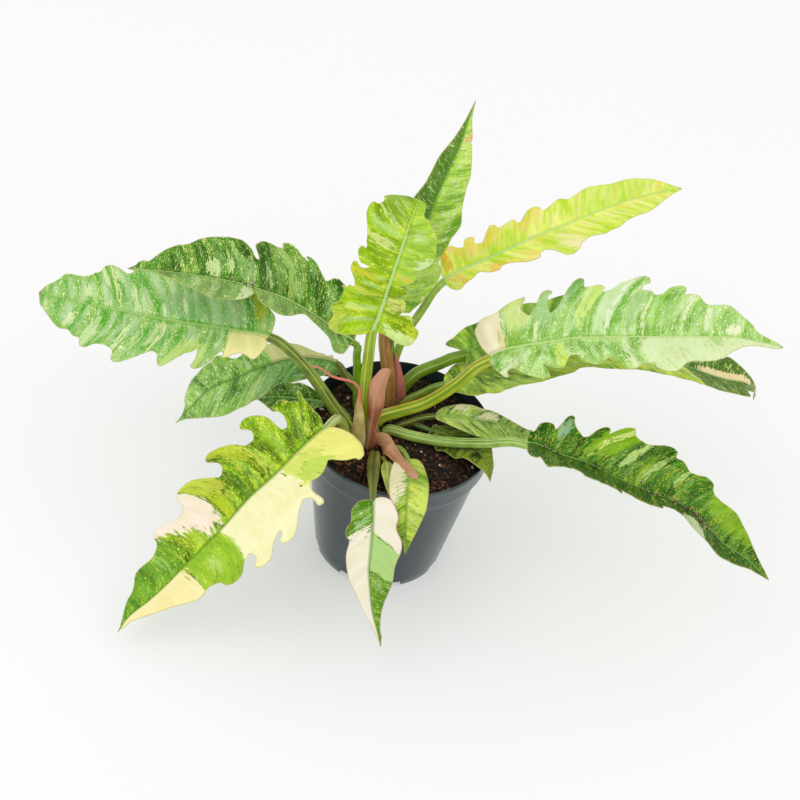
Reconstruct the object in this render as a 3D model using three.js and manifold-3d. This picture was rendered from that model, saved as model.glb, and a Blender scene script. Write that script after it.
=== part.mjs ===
import * as THREE from 'three';
import { mergeVertices } from 'three/addons/utils/BufferGeometryUtils.js';
import Module from 'manifold-3d';

const wasm = await Module();
wasm.setup();

// Pot: millimetres, standing on z = 0 with its axis on the z axis
const rimRadius = 70;
const potHeight = 126;
const footRadius = 49;
const bandHeight = 16.5;
const bandStep = 2.6;
const lipRounding = 0.8;
const wallThickness = 1.4;
const floorThickness = 1.6;
const roundSegments = 48;
const drainCount = 8;
const drainWidth = 12;
const drainHeight = 6;
const drainDepth = 12;
const bandFoot = potHeight - bandHeight;
const wallTop = rimRadius - bandStep - 1.2;

// Soil and the room kept between separate pieces
const soilLevel = 117;
const soilSwell = 0.9;
const soilSwellAtWall = 0.3;
const soilGap = 0.3;
const rootDepth = 7;
const clearance = 0.3;

// Leaves
const bladeThickness = 0.86;
const ribHalfWidth = 2.6;
const stalkSides = 8;
const stalkStep = 17;

// A leaf is a curve that runs up the stalk and on along the midrib. The blade is measured along
// that curve (a, from the blade's base) and across it (w). Each margin is a list of [a, w] points
// that step from bay to lobe to bay; taper is the shape of the last run to the tip. facing is
// the way the upper face looks, fold the angle that each half rises from the midrib, curl how far it
// rolls back over again towards the margin, sweep how far the veins lean back at the base and
// forward beyond it, wave the rise and fall of the margin between lobes.
const leaves = {
  leaf_young_upright: {
    stalk: [[-26, -16, 110], [-26, -16, 118], [-28, -16, 152], [-30, -16, 185]],
    rib: [[-31, -15, 224], [-29, -12, 236], [-27, -8, 249], [-25, -3, 264], [-23, 4, 277],
      [-21, 12, 289], [-19, 24, 297], [-17, 36, 298], [-16, 45, 292], [-15, 51, 282]],
    facing: [[0.15, -0.9, 0.3], [0.15, -0.75, 0.65], [0.15, -0.4, 0.9], [0.1, 0.1, 1], [0.1, 0.6, 0.8]],
    fold: [8, 4, 0, 0], curl: [10, 15, 15], half: 36, sweep: [-0.5, 0.35], wave: 1.6, hook: 1,
    left: [[0, 10], [9, 31], [11, 28], [14, 32], [29, 22], [38, 30], [45, 17], [50, 28], [53, 21],
      [76, 31], [92, 26], [96, 23]],
    right: [[0, 12], [14, 32], [22, 8], [26, 18], [38, 9], [47, 17], [51, 13], [59, 26], [67, 21],
      [75, 21], [88, 15], [97, 12]],
    taper: [1.5, 1.2], radius: [5.2, 3.6],
    colour: 0xb4d636, sheen: 0.42,
  },
  leaf_left_long: {
    stalk: [[-34, -11, 110], [-34, -11, 118], [-53, -6, 142], [-71, -2, 163], [-88, 2, 177]],
    rib: [[-102, 6, 183], [-130, 13, 176], [-157, 19, 169], [-188, 27, 160], [-216, 34, 154],
      [-240, 40, 148], [-264, 46, 144], [-286, 52, 140]],
    facing: [[-0.2, -0.35, 0.92], [-0.25, -0.3, 0.92]],
    fold: [14, 10, 8], curl: [6, 10], half: 45, sweep: [-0.35, 0.45], wave: 2, hook: 1,
    left: [[0, 16], [23, 25], [32, 20], [39, 41], [51, 17], [57, 41], [78, 29], [92, 43], [118, 31],
      [130, 35], [139, 30], [160, 24]],
    right: [[0, 6], [30, 36], [50, 33], [74, 42], [84, 34], [104, 45], [125, 30], [136, 36], [165, 22],
      [176, 20]],
    taper: [1.2, 1.2], radius: [5.8, 3.4],
    colour: 0x5f9c3a, sheen: 0.36,
  },
  leaf_left_arching: {
    stalk: [[-34, 19, 110], [-34, 19, 118], [-37, 19, 140], [-40, 19, 165]],
    rib: [[-44, 19, 182], [-57, 20, 187], [-67, 21, 193], [-79, 21, 200], [-92, 22, 205], [-105, 23, 208],
      [-119, 23, 210], [-131, 24, 211], [-161, 26, 209], [-186, 27, 206], [-214, 28, 202]],
    facing: [[-0.3, -0.1, 0.95], [-0.1, 0, 1]],
    fold: [20, 25, 25], curl: [8, 16], half: 38, sweep: [-0.8, 0.4], wave: 1.8, hook: 0.8,
    left: [[0, 22], [8, 28], [42, 11], [68, 25], [80, 9], [86, 43], [99, 32], [109, 33]],
    right: [[0, 6], [14, 14], [16, 14], [44, 37], [46, 34], [55, 43], [58, 37], [76, 39], [83, 23],
      [92, 36]],
    taper: [0.8, 1.7], radius: [3.6, 2.8],
    colour: 0x3c7030, sheen: 0.34,
  },
  leaf_back_upright: {
    stalk: [[-16, 33, 110], [-16, 34, 118], [-16, 34, 140], [-18, 34, 170]],
    rib: [[-19, 34, 204], [-17, 38, 222], [-14, 45, 244], [-10, 53, 263], [-7, 60, 279], [-4, 67, 294],
      [0, 75, 309], [4, 83, 324], [6, 90, 339], [8, 96, 350]],
    facing: [[0.1, -0.95, 0.4], [0.1, -0.95, 0.4]],
    fold: [15, 20, 25], curl: [4, 8], half: 30, sweep: [-0.3, 0.5], wave: 1.2, hook: 0.3,
    left: [[0, 12], [30, 20], [45, 16], [65, 19]],
    right: [[0, 9], [34, 23], [47, 18], [72, 22]],
    taper: [1.05, 1.2], radius: [3.6, 2.8],
    colour: 0x6a9c3a, sheen: 0.38,
  },
  leaf_right_yellow: {
    stalk: [[-11, 41, 110], [-11, 41, 118], [-13, 40, 153], [-9, 43, 176], [-1, 50, 195]],
    rib: [[11, 61, 220], [28, 77, 224], [48, 95, 227], [68, 113, 231], [89, 131, 234], [110, 151, 235],
      [132, 170, 237], [155, 191, 235], [181, 214, 231]],
    facing: [[0, -0.1, 1], [0, -0.12, 1]],
    fold: [12, 14, 14], curl: [6, 8], half: 32, sweep: [-0.2, 0.4], wave: 1.6, hook: 0.6,
    left: [[0, 3], [19, 23], [29, 15], [35, 26], [42, 12], [53, 25], [61, 18], [70, 22], [76, 16],
      [91, 25], [100, 17], [115, 22], [124, 18], [137, 23], [152, 20], [167, 19]],
    right: [[0, 3], [3, 16], [25, 10], [46, 13], [76, 19], [88, 30], [110, 22], [126, 23], [140, 22],
      [166, 18]],
    taper: [2.2, 1.3], radius: [3.8, 2.8],
    colour: 0xd0dd3c, sheen: 0.42,
  },
  leaf_right_long: {
    stalk: [[-19, 6, 110], [-18, 6, 118], [-14, 7, 125], [-2, 10, 131], [15, 15, 139], [34, 20, 158]],
    rib: [[54, 25, 187], [67, 29, 195], [88, 34, 201], [109, 40, 206], [130, 46, 207], [159, 53, 209],
      [188, 61, 210], [210, 67, 210], [229, 72, 210], [249, 77, 206], [268, 83, 201]],
    facing: [[-0.2, -0.1, 1], [0, -0.05, 1]],
    fold: [20, 18, 18], curl: [6, 14], half: 45, sweep: [-0.3, 0.4], wave: 2.6, hook: 1,
    left: [[0, 16], [26, 38], [30, 14], [40, 46], [48, 25], [52, 56], [67, 42], [73, 48], [79, 35],
      [102, 58], [117, 31], [135, 48], [145, 34], [150, 40], [167, 26], [180, 30]],
    right: [[0, 12], [11, 33], [20, 27], [32, 42], [34, 27], [41, 38], [51, 22], [82, 38], [92, 34],
      [100, 43], [126, 34], [148, 32]],
    taper: [0.7, 0.75], radius: [5, 4.2],
    colour: 0x9cc552, sheen: 0.38,
  },
  leaf_right_behind: {
    stalk: [[-5, 43, 110], [-5, 43, 118], [4, 48, 135], [22, 61, 140]],
    rib: [[38, 71, 146], [58, 85, 151], [80, 100, 154], [102, 115, 154], [125, 130, 152], [147, 145, 148],
      [168, 159, 140]],
    facing: [[0, -0.1, 1], [0, -0.1, 1]],
    fold: [12, 15, 15], curl: [4, 8], half: 30, sweep: [-0.8, 0.4], wave: 1.2, hook: 0.5,
    left: [[0, 14], [18, 20], [36, 18], [57, 23], [72, 20], [92, 24], [110, 17], [124, 18]],
    right: [[0, 14], [22, 22], [40, 17], [60, 23], [80, 17], [98, 20], [112, 15], [124, 16]],
    taper: [1.2, 1.2], radius: [5, 4.4],
    colour: 0x3f7435, sheen: 0.36,
  },
  leaf_right_under: {
    stalk: [[-1, 32, 110], [-1, 32, 118], [14, 37, 130]],
    rib: [[26, 42, 138], [52, 56, 139], [82, 72, 140], [111, 88, 144], [141, 102, 146], [173, 111, 143],
      [200, 117, 137], [224, 123, 127], [246, 131, 117], [264, 138, 111], [273, 142, 102], [277, 144, 90]],
    facing: [[0, 0.25, 1], [0, 0.25, 1], [0.1, 0.05, 1], [0.3, -0.1, 0.9]],
    fold: [6, 12, 18, 20], curl: [4, 8], half: 32, sweep: [-0.3, 0.4], wave: 1.6, hook: 0.7,
    left: [[0, 5], [35, 24], [50, 20], [72, 26], [92, 20], [115, 26], [140, 18], [165, 22], [203, 11],
      [238, 20]],
    right: [[0, 12], [20, 26], [50, 19], [75, 22], [98, 17], [125, 22], [150, 18], [175, 22], [192, 19],
      [228, 22]],
    taper: [1, 1.1], radius: [3.6, 3],
    colour: 0x3a6c33, sheen: 0.34,
  },
  leaf_right_low: {
    stalk: [[-8, -1, 110], [-8, -1, 120], [9, -4, 122], [31, -8, 126], [60, -13, 137]],
    rib: [[92, -19, 153], [105, -21, 153], [117, -23, 151], [135, -26, 151], [147, -28, 149],
      [166, -32, 145], [185, -35, 143], [204, -38, 141], [215, -40, 139], [226, -42, 132],
      [237, -44, 123], [248, -46, 115], [261, -48, 110], [272, -50, 104], [285, -53, 96]],
    facing: [[0, 0, 1], [0, 0, 1], [0.2, -0.35, 1]],
    fold: [26, 30, 22, 8], curl: [8, 12], half: 40, sweep: [-0.3, 0.4], wave: 2, hook: 0.9,
    left: [[0, 4], [14, 21], [17, 15], [22, 33], [37, 18], [55, 42], [72, 32], [84, 41], [112, 26],
      [119, 30], [140, 20], [155, 26]],
    right: [[0, 7], [11, 21], [15, 17], [22, 27], [34, 20], [47, 22], [62, 23], [94, 21], [118, 12],
      [136, 17]],
    taper: [1, 1.3], radius: [4.4, 3.4],
    colour: 0x3f7a33, sheen: 0.36,
  },
  leaf_left_middle: {
    stalk: [[-30, 27, 110], [-30, 27, 118], [-41, 29, 130], [-47, 30, 136]],
    rib: [[-55, 32, 145], [-71, 36, 142], [-90, 40, 133], [-111, 44, 116], [-127, 47, 99], [-141, 50, 85],
      [-152, 53, 71], [-164, 55, 48], [-177, 58, 24]],
    facing: [[-0.4, -0.45, 0.8], [-0.6, -0.5, 0.65]],
    fold: [15, 12, 8], curl: [4, 8], half: 36, sweep: [-0.3, 0.4], wave: 1.4, hook: 0.7,
    left: [[0, 8], [25, 25], [42, 23], [62, 27], [76, 26], [97, 27], [113, 24], [124, 22]],
    right: [[0, 4], [33, 11], [41, 14], [75, 17], [90, 15], [113, 25], [128, 18], [136, 19]],
    taper: [1, 1.1], radius: [3.6, 3],
    colour: 0x4a7f36, sheen: 0.36,
  },
  leaf_front_left: {
    stalk: [[-37, -25, 110], [-37, -25, 118], [-38, -27, 133], [-40, -31, 146], [-45, -37, 157]],
    rib: [[-52, -44, 153], [-66, -56, 139], [-80, -69, 122], [-95, -81, 106], [-109, -94, 86],
      [-120, -104, 73], [-130, -113, 61], [-140, -123, 49], [-152, -133, 36], [-164, -144, 27],
      [-171, -150, 14]],
    facing: [[-0.5, -0.35, 0.8], [-0.5, -0.35, 0.8]],
    fold: [8, 8, 8], curl: [6, 12], half: 50, sweep: [-0.4, 0.45], wave: 2.4, hook: 1,
    left: [[0, 33], [8, 46], [14, 25], [21, 29], [27, 25], [31, 47], [36, 35], [43, 53], [53, 42],
      [72, 53], [86, 36], [104, 45], [127, 29], [136, 32]],
    right: [[0, 24], [21, 42], [23, 18], [31, 56], [40, 31], [56, 55], [72, 30], [92, 52], [115, 34],
      [134, 41], [151, 25], [167, 28]],
    taper: [0.75, 0.8], radius: [4, 3.4],
    colour: 0xc9d34f, sheen: 0.4,
  },
  leaf_left_under: {
    stalk: [[-38, 5, 110], [-38, 5, 117], [-42, 4, 124], [-49, 3, 130]],
    rib: [[-60, 0, 134.5], [-75, -2, 135], [-90, -3, 134], [-107, -2, 127]],
    facing: [[-0.1, -0.1, 1], [-0.2, -0.1, 1]],
    fold: [14, 10], curl: [4, 8], half: 18, sweep: [-0.2, 0.4], wave: 0.6, hook: 0.4,
    left: [[0, 5], [14, 16], [19, 14], [27, 15]],
    right: [[0, 5], [13, 15], [19, 13], [27, 14]],
    taper: [1.2, 1.2], radius: [2.8, 2.2],
    colour: 0x3a6c33, sheen: 0.36,
  },
  leaf_right_small: {
    stalk: [[-2, 6, 110], [-2, 6, 118], [8, 7, 126]],
    rib: [[23, 9, 135], [39, 10, 136], [54, 12, 135], [70, 14, 134], [86, 15, 129], [101, 17, 121]],
    facing: [[0, -0.1, 1], [0, -0.1, 1]],
    fold: [12, 12], curl: [4, 8], half: 20, sweep: [-0.1, 0.35], wave: 0.6, hook: 0.2,
    left: [[0, 3], [11, 11], [21, 13], [50, 12]],
    right: [[0, 4], [22, 14], [32, 16], [47, 17]],
    taper: [1.5, 1.5], radius: [2.8, 2.2],
    colour: 0x6fa046, sheen: 0.36,
  },
  leaf_front_hanging: {
    stalk: [[-14, -24, 110], [-14, -24, 117], [-13, -44, 125], [-11, -66, 131], [-9.5, -76, 131.5]],
    rib: [[-8.3, -83, 129.7], [-5.7, -92, 120.2], [-3.7, -102, 105.3], [-1.8, -111, 89], [1.7, -118, 76.2],
      [5.8, -124, 62.2], [12.1, -129, 47.5], [17.4, -133, 33.3]],
    facing: [[0, -0.5, 0.85], [0, -0.8, 0.6], [0, -0.9, 0.4]],
    fold: [10, 8, 4], curl: [10, 16], half: 24, sweep: [-0.3, 0.3], wave: 0.7, hook: 0.4,
    left: [[0, 8], [10, 18], [17, 15], [34, 22], [46, 18], [54, 17]],
    right: [[0, 8], [9, 17], [12, 16.5], [24, 19], [31, 17], [48, 17]],
    taper: [0.75, 0.9], radius: [2.6, 2],
    colour: 0xb9cc7a, sheen: 0.42,
  },
  leaf_front_short: {
    stalk: [[1, -13, 110], [1, -14, 117], [5, -19, 120]],
    rib: [[10.5, -31.2, 125], [13.2, -57.6, 130.5], [14.6, -72, 131.5], [16, -82.5, 126],
      [18.5, -88.5, 112], [22, -92, 90]],
    facing: [[0, -0.2, 1], [0, -0.3, 0.9], [0, -0.8, 0.6]],
    fold: [12, 10, 6], curl: [4, 8], half: 18, sweep: [-0.3, 0.3], wave: 0.5, hook: 0.3,
    left: [[0, 7], [25, 15], [42, 14], [58, 14]],
    right: [[0, 9], [27, 14], [40, 11], [52, 11]],
    taper: [1.3, 1.4], radius: [2.4, 2],
    colour: 0x8cb84a, sheen: 0.42,
  },
  leaf_front_narrow: {
    stalk: [[-8, -27, 110], [-8, -27, 117], [-6, -32, 120]],
    rib: [[-4, -39, 122.5], [-3, -50, 126], [-1, -62, 129], [0, -72, 130.5]],
    facing: [[0, -0.2, 1], [0, -0.2, 1]],
    fold: [30, 30], curl: [0, 0], half: 5, sweep: [0, 0.3], wave: 0, hook: 0,
    left: [[0, 2.2], [14, 4]],
    right: [[0, 2.2], [14, 4]],
    taper: [1.3, 1.3], radius: [1.9, 1.5],
    colour: 0x86ad3c, sheen: 0.42,
  },
  leaf_right_drooping: {
    stalk: [[7, 12, 110], [7, 12, 117], [15, 9, 121]],
    rib: [[24, 7, 121.5], [37, 3, 122], [48, -5, 125], [58, -13, 129], [64, -21, 131], [70, -27, 127],
      [73, -30, 117]],
    facing: [[0, 0, 1], [0, 0, 1], [0.1, -0.1, 1], [0.6, -0.3, 0.7]],
    fold: [0, 4, 4], curl: [0, 8], half: 18, sweep: [-0.2, 0.35], wave: 0.5, hook: 0.2,
    left: [[0, 6], [20, 16]],
    right: [[0, 6], [12, 18], [20, 16], [30, 17]],
    taper: [1.4, 1.3], radius: [2.2, 1.8],
    colour: 0x3f7434, sheen: 0.36,
  },
  leaf_left_small: {
    stalk: [[-37, 30, 110], [-37, 31, 117], [-40, 35, 124], [-44, 39, 129]],
    rib: [[-50, 40, 132], [-57, 38, 133], [-64, 35, 133], [-72, 31, 131]],
    facing: [[-0.1, -0.2, 1], [-0.2, -0.2, 1]],
    fold: [16, 12], curl: [4, 6], half: 9, sweep: [-0.1, 0.3], wave: 0, hook: 0,
    left: [[0, 3], [8, 8]],
    right: [[0, 3], [8, 8]],
    taper: [1.3, 1.3], radius: [1.9, 1.6],
    colour: 0x4a7f36, sheen: 0.36,
  },
};

// Dry sheaths at the feet of the stalks: narrow channels that end in a point
const sheaths = {
  sheath_upright: {
    stalk: [],
    rib: [[-15, -21, 113], [-16.5, -21.5, 127], [-19.5, -22.5, 156], [-20.5, -23.5, 176],
      [-18, -24.5, 192], [-16, -25, 201]],
    facing: [[-0.2, -1, 0], [-0.2, -1, 0.1], [0.3, -1, 0]],
    fold: [-14, -14], curl: [60, 90], half: 7, sweep: [0, 0.3], wave: 0, hook: 0,
    left: [[0, 6.5], [40, 7.5]],
    right: [[0, 6.5], [40, 7.5]],
    taper: [1.3, 1.3], thickness: 1.2,
    colour: 0xb07a62, sheen: 0.55,
  },
  sheath_right: {
    stalk: [],
    rib: [[-13, -14, 112], [-12.5, -17, 120], [-5.4, -25, 127], [4.9, -38.6, 130], [13.3, -48, 131.5],
      [19.3, -56.4, 132.5]],
    facing: [[0, -1, 0.3], [0, -0.5, 0.8], [0, -0.3, 1], [0, -0.3, 1]],
    fold: [-10, -6], curl: [30, 70], half: 10, sweep: [0, 0.2], wave: 0, hook: 0,
    left: [[0, 5], [12, 8], [32, 4], [34, 4]],
    right: [[0, 5], [12, 8], [32, 4], [34, 4]],
    taper: [1, 1], thickness: 1.2,
    colour: 0xb98a72, sheen: 0.55,
  },
  sheath_curled: {
    stalk: [],
    rib: [[-27, -25, 113], [-28, -25, 128], [-29.5, -25, 147.5], [-31.5, -24.5, 167], [-33, -24.5, 178],
      [-39, -25.5, 185], [-47.5, -27, 186.5], [-55, -28, 189], [-62, -29, 195], [-69, -30, 196]],
    facing: [[-0.6, -0.8, 0], [-0.6, -0.8, 0.1], [-0.3, -0.6, 0.7], [-0.1, -0.6, 0.7], [0, -0.6, 0.8]],
    fold: [-10, -10], curl: [40, 60], half: 6, sweep: [0, 0.2], wave: 0, hook: 0,
    left: [[0, 5], [18, 6], [60, 1.8], [62, 1.8]],
    right: [[0, 5], [18, 6], [60, 1.8], [62, 1.8]],
    taper: [2, 2], thickness: 1.2,
    colour: 0xc07a58, sheen: 0.5,
  },
  sheath_tall: {
    stalk: [],
    rib: [[-12, 24, 112], [-13, 24, 130], [-15.5, 24, 147], [-19.5, 24, 164], [-23, 25, 179],
      [-25, 26, 200]],
    facing: [[0, -1, 0], [0, -1, 0.1], [0, -1, 0]],
    fold: [-16, -16], curl: [50, 90], half: 8, sweep: [0, 0.3], wave: 0, hook: 0,
    left: [[0, 6], [66, 8]],
    right: [[0, 6], [66, 9]],
    taper: [2.2, 2.2], thickness: 1.2,
    colour: 0x9c7440, sheen: 0.6,
  },
  sheath_red: {
    stalk: [],
    rib: [[-4, 31, 113], [-6, 31, 132], [-8.5, 32, 145], [-11, 33, 158], [-14, 33.5, 168]],
    facing: [[0.2, -1, 0.1], [0, -0.8, 0.5], [0, -0.5, 0.8]],
    fold: [-8, -8], curl: [30, 50], half: 6, sweep: [0, 0.2], wave: 0, hook: 0,
    left: [[0, 5], [14, 6]],
    right: [[0, 5], [14, 6]],
    taper: [1, 1], thickness: 1.2,
    colour: 0xa8503c, sheen: 0.55,
  },
};

// Short thick stems that the stalks stand around: centre x, y, radius and top
const crowns = {
  crown_front: { centre: [-20, -9], radius: 9, top: 126, colour: 0x7c8a3c },
  crown_back: { centre: [-11, 34], radius: 8, top: 125, colour: 0x7c8a3c },
};

const mix = (a, b, t) => a + (b - a) * t;
const clamp = (v, low, high) => Math.min(Math.max(v, low), high);

// Value at f (0 to 1) along an evenly spaced list of numbers or vectors
function along(list, f) {
  const x = clamp(f, 0, 1) * (list.length - 1);
  const i = Math.min(Math.floor(x), list.length - 2);
  const t = x - i;
  if (Array.isArray(list[0])) {
    return list[i].map((value, k) => mix(value, list[i + 1][k], t));
  }
  return mix(list[i], list[i + 1], t);
}

class Leaf {
  constructor(spec) {
    Object.assign(this, spec);
    const points = [...spec.stalk, ...spec.rib].map((p) => new THREE.Vector3(...p));
    const curve = new THREE.CatmullRomCurve3(points, false, 'centripetal');
    const perSpan = 24;
    const count = (points.length - 1) * perSpan;
    this.samples = [];
    this.lengths = [0];
    for (let i = 0; i <= count; i += 1) {
      this.samples.push(curve.getPoint(i / count));
      if (i > 0) {
        const step = this.samples[i].distanceTo(this.samples[i - 1]);
        this.lengths.push(this.lengths[i - 1] + step);
      }
    }
    const base = this.lengths[spec.stalk.length * perSpan];
    this.lengths = this.lengths.map((value) => value - base);
    this.length = this.lengths[count];
    this.foot = this.lengths[0];
  }

  // Point of the curve at the distance u from the blade's base, run on straight past the ends
  middle(u) {
    const last = this.lengths.length - 1;
    let low = 0;
    let high = last;
    while (high - low > 1) {
      const probe = (low + high) >> 1;
      if (this.lengths[probe] > u) {
        high = probe;
      } else {
        low = probe;
      }
    }
    const t = (u - this.lengths[low]) / (this.lengths[high] - this.lengths[low]);
    return this.samples[low].clone().lerp(this.samples[high], t);
  }

  frame(u) {
    const tangent = this.middle(u + 2).sub(this.middle(u - 2)).normalize();
    const facing = new THREE.Vector3(...along(this.facing, u / this.length));
    const side = tangent.clone().cross(facing).normalize();
    const normal = side.clone().cross(tangent);
    return { tangent, side, normal };
  }

  // Width of the margin where a vein leaves the midrib, and how far it is from bay (even) to lobe (odd)
  margin(side, a) {
    const list = side < 0 ? this.left : this.right;
    const taper = this.taper[side < 0 ? 0 : 1];
    const last = list.length - 1;
    if (a >= list[last][0]) {
      const t = clamp((a - list[last][0]) / (this.length - list[last][0]), 0, 1);
      return { width: list[last][1] * (1 - t ** taper), phase: last + t };
    }
    let i = 0;
    while (a >= list[i + 1][0]) {
      i += 1;
    }
    const t = (a - list[i][0]) / (list[i + 1][0] - list[i][0]);
    const soft = (1 - Math.cos(Math.PI * t)) / 2;
    const rising = list[i + 1][1] > list[i][1];
    const sharp = rising ? 1 - (1 - t ** 1.1) ** 2.2 : 1 - (1 - t ** 1.5) ** 3;
    return { width: mix(list[i][1], list[i + 1][1], mix(soft, sharp, this.hook)), phase: i + t };
  }

  // Point of the blade on the vein that starts at a, at the distance w across, lifted off the middle face
  point(side, a, w, lift) {
    const t = clamp(a / (0.22 * this.length), 0, 1);
    const lean = mix(this.sweep[0], this.sweep[1], t * t * (3 - 2 * t));
    const u = Math.min(a + lean * w * w / this.half, this.length);
    const f = u / this.length;
    const { side: across, normal } = this.frame(u);
    const fold = THREE.MathUtils.degToRad(along(this.fold, f));
    const bend = THREE.MathUtils.degToRad(Math.max(along(this.curl, f), 0.01)) / this.half;
    const slope = fold - bend * w;
    const out = (Math.sin(fold) - Math.sin(slope)) / bend;
    const ratio = Math.min(w / this.half, 1.2);
    const rise = (Math.cos(slope) - Math.cos(fold)) / bend
      + this.wave * ratio * ratio * Math.cos(Math.PI * this.margin(side, a).phase);
    return this.middle(u)
      .addScaledVector(across, side * (out - Math.sin(slope) * lift))
      .addScaledVector(normal, rise + Math.cos(slope) * lift);
  }

  stations(side) {
    const list = side < 0 ? this.left : this.right;
    const stops = [];
    for (let i = 0; i < list.length; i += 1) {
      stops.push(list[i][0]);
      const next = i + 1 < list.length ? list[i + 1][0] : this.length;
      const gap = next - list[i][0];
      if (i + 1 === list.length) {
        stops.push(list[i][0] + gap * 0.3, list[i][0] + gap * 0.6, list[i][0] + gap * 0.85);
      } else if (gap > 8) {
        stops.push(list[i][0] + gap * 0.4);
      }
    }
    return stops;
  }
}

function solidFrom(points, faces) {
  const vertProperties = new Float32Array(points.flatMap((p) => [p.x, p.y, p.z]));
  let volume = 0;
  for (const [i, j, k] of faces) {
    volume += points[i].dot(points[j].clone().cross(points[k]));
  }
  const order = volume > 0 ? faces : faces.map(([i, j, k]) => [i, k, j]);
  const triVerts = new Uint32Array(order.flat());
  return new wasm.Manifold(new wasm.Mesh({ numProp: 3, vertProperties, triVerts }));
}

// Tube of round sections with flat ends
function tube(centres, radii, sides) {
  const points = [];
  const faces = [];
  const last = centres.length - 1;
  let axis = centres[1].clone().sub(centres[0]).normalize();
  let first = new THREE.Vector3(0, -1, 0);
  for (let i = 0; i <= last; i += 1) {
    const ahead = centres[Math.min(i + 1, last)].clone().sub(centres[Math.max(i - 1, 0)]).normalize();
    first.applyQuaternion(new THREE.Quaternion().setFromUnitVectors(axis, ahead));
    axis = ahead;
    first = first.addScaledVector(axis, -first.dot(axis)).normalize();
    const second = axis.clone().cross(first);
    for (let k = 0; k < sides; k += 1) {
      const angle = 2 * Math.PI * k / sides;
      points.push(centres[i].clone()
        .addScaledVector(first, radii[i] * Math.cos(angle))
        .addScaledVector(second, radii[i] * Math.sin(angle)));
      const next = (k + 1) % sides;
      if (i < last) {
        faces.push([i * sides + k, i * sides + next, (i + 1) * sides + next]);
        faces.push([i * sides + k, (i + 1) * sides + next, (i + 1) * sides + k]);
      }
    }
  }
  for (let k = 1; k < sides - 1; k += 1) {
    faces.push([0, k + 1, k]);
    faces.push([last * sides, last * sides + k, last * sides + k + 1]);
  }
  return solidFrom(points, faces);
}

// Blade: columns at the midrib, beside it, half way out and at the margin; grow swells it all round
function blade(leaf, grow) {
  const half = (leaf.thickness ?? bladeThickness) / 2 + grow;
  const keelDepth = leaf.stalk.length ? leaf.radius[1] * 0.75 : 0;
  const spots = [];
  const faces = [];
  const add = (side, a, w, keel) => spots.push({ side, a, w, keel }) - 1;
  const all = [...leaf.stations(-1), ...leaf.stations(1)].sort((a, b) => a - b);
  const nodes = all.filter((a, i) => i === 0 || a - all[i - 1] > 0.01)
    .reduce((kept, a) => (kept.length && a - kept[kept.length - 1] < 6 ? kept : [...kept, a]), []);
  const spine = nodes.map((a) => add(1, a, 0, keelDepth * (1 - a / leaf.length) ** 0.8));
  const tip = add(1, leaf.length, 0, 0);
  const zip = (inner, outer, side) => {
    let i = 0;
    let j = 0;
    while (i < inner.length - 1 || j < outer.length - 1) {
      const nextInner = i < inner.length - 1 ? spots[inner[i + 1]].a : Infinity;
      const nextOuter = j < outer.length - 1 ? spots[outer[j + 1]].a : Infinity;
      const moveInner = nextInner < nextOuter || (nextInner === nextOuter && (i + j) % 2 === 0);
      const third = moveInner ? inner[i + 1] : outer[j + 1];
      const face = side > 0 ? [inner[i], outer[j], third] : [inner[i], third, outer[j]];
      if (new Set(face).size === 3) {
        faces.push(face);
      }
      i += moveInner ? 1 : 0;
      j += moveInner ? 0 : 1;
    }
  };
  for (const side of [-1, 1]) {
    const stations = leaf.stations(side);
    const beside = nodes.map((a) => {
      const room = leaf.margin(side, a).width * 0.35;
      return add(side, a, Math.min(mix(ribHalfWidth, 0.8, a / leaf.length), room), 0);
    });
    const halfway = stations.map((a) => add(side, a, leaf.margin(side, a).width * 0.56, 0));
    const edge = stations.map((a) => add(side, a, leaf.margin(side, a).width + grow, 0));
    zip([...spine, tip], [...beside, tip], side);
    zip([...beside, tip], [...halfway, tip], side);
    zip([...halfway, tip], [...edge, tip], side);
  }
  const count = spots.length;
  const upper = spots.map((s) => leaf.point(s.side, s.a, s.w, half));
  const lower = spots.map((s) => leaf.point(s.side, s.a, s.w, -half - s.keel));
  const edges = new Map();
  for (const face of faces) {
    for (let k = 0; k < 3; k += 1) {
      const from = face[k];
      const to = face[(k + 1) % 3];
      if (!edges.delete(`${to}_${from}`)) {
        edges.set(`${from}_${to}`, [from, to]);
      }
    }
  }
  const closed = [...faces, ...faces.map(([i, j, k]) => [i + count, k + count, j + count])];
  for (const [from, to] of edges.values()) {
    closed.push([to, from, from + count], [to, from + count, to + count]);
  }
  return solidFrom([...upper, ...lower], closed);
}

// Stalk: a tapering tube from under the soil to a little way beneath the blade
function stalk(leaf, grow) {
  const start = leaf.foot;
  const end = Math.min(leaf.length * 0.12, 14);
  const count = Math.max(Math.ceil((end - start) / stalkStep), 4);
  const centres = [];
  const radii = [];
  for (let i = 0; i <= count; i += 1) {
    const u = mix(start, end, i / count);
    const near = clamp(1 + u / 12, 0, 1);
    const radius = mix(leaf.radius[0], leaf.radius[1], clamp((u - start) / (end - start), 0, 1) ** 0.6)
      * mix(1, 0.8, clamp(u / end, 0, 1));
    const centre = leaf.middle(u);
    if (near > 0) {
      centre.addScaledVector(leaf.frame(Math.max(u, -8)).normal, -radius * 0.8 * near);
    }
    centres.push(centre);
    radii.push(radius + grow);
  }
  centres[0].z -= grow;
  return tube(centres, radii, stalkSides);
}

function grown(spec, grow) {
  if (spec.stalk.length) {
    const leaf = new Leaf(spec);
    return blade(leaf, grow).add(stalk(leaf, grow));
  }
  const [[x, y, z], ...rest] = spec.rib;
  return blade(new Leaf({ ...spec, rib: [[x, y, z - grow], ...rest] }), grow);
}

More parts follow.
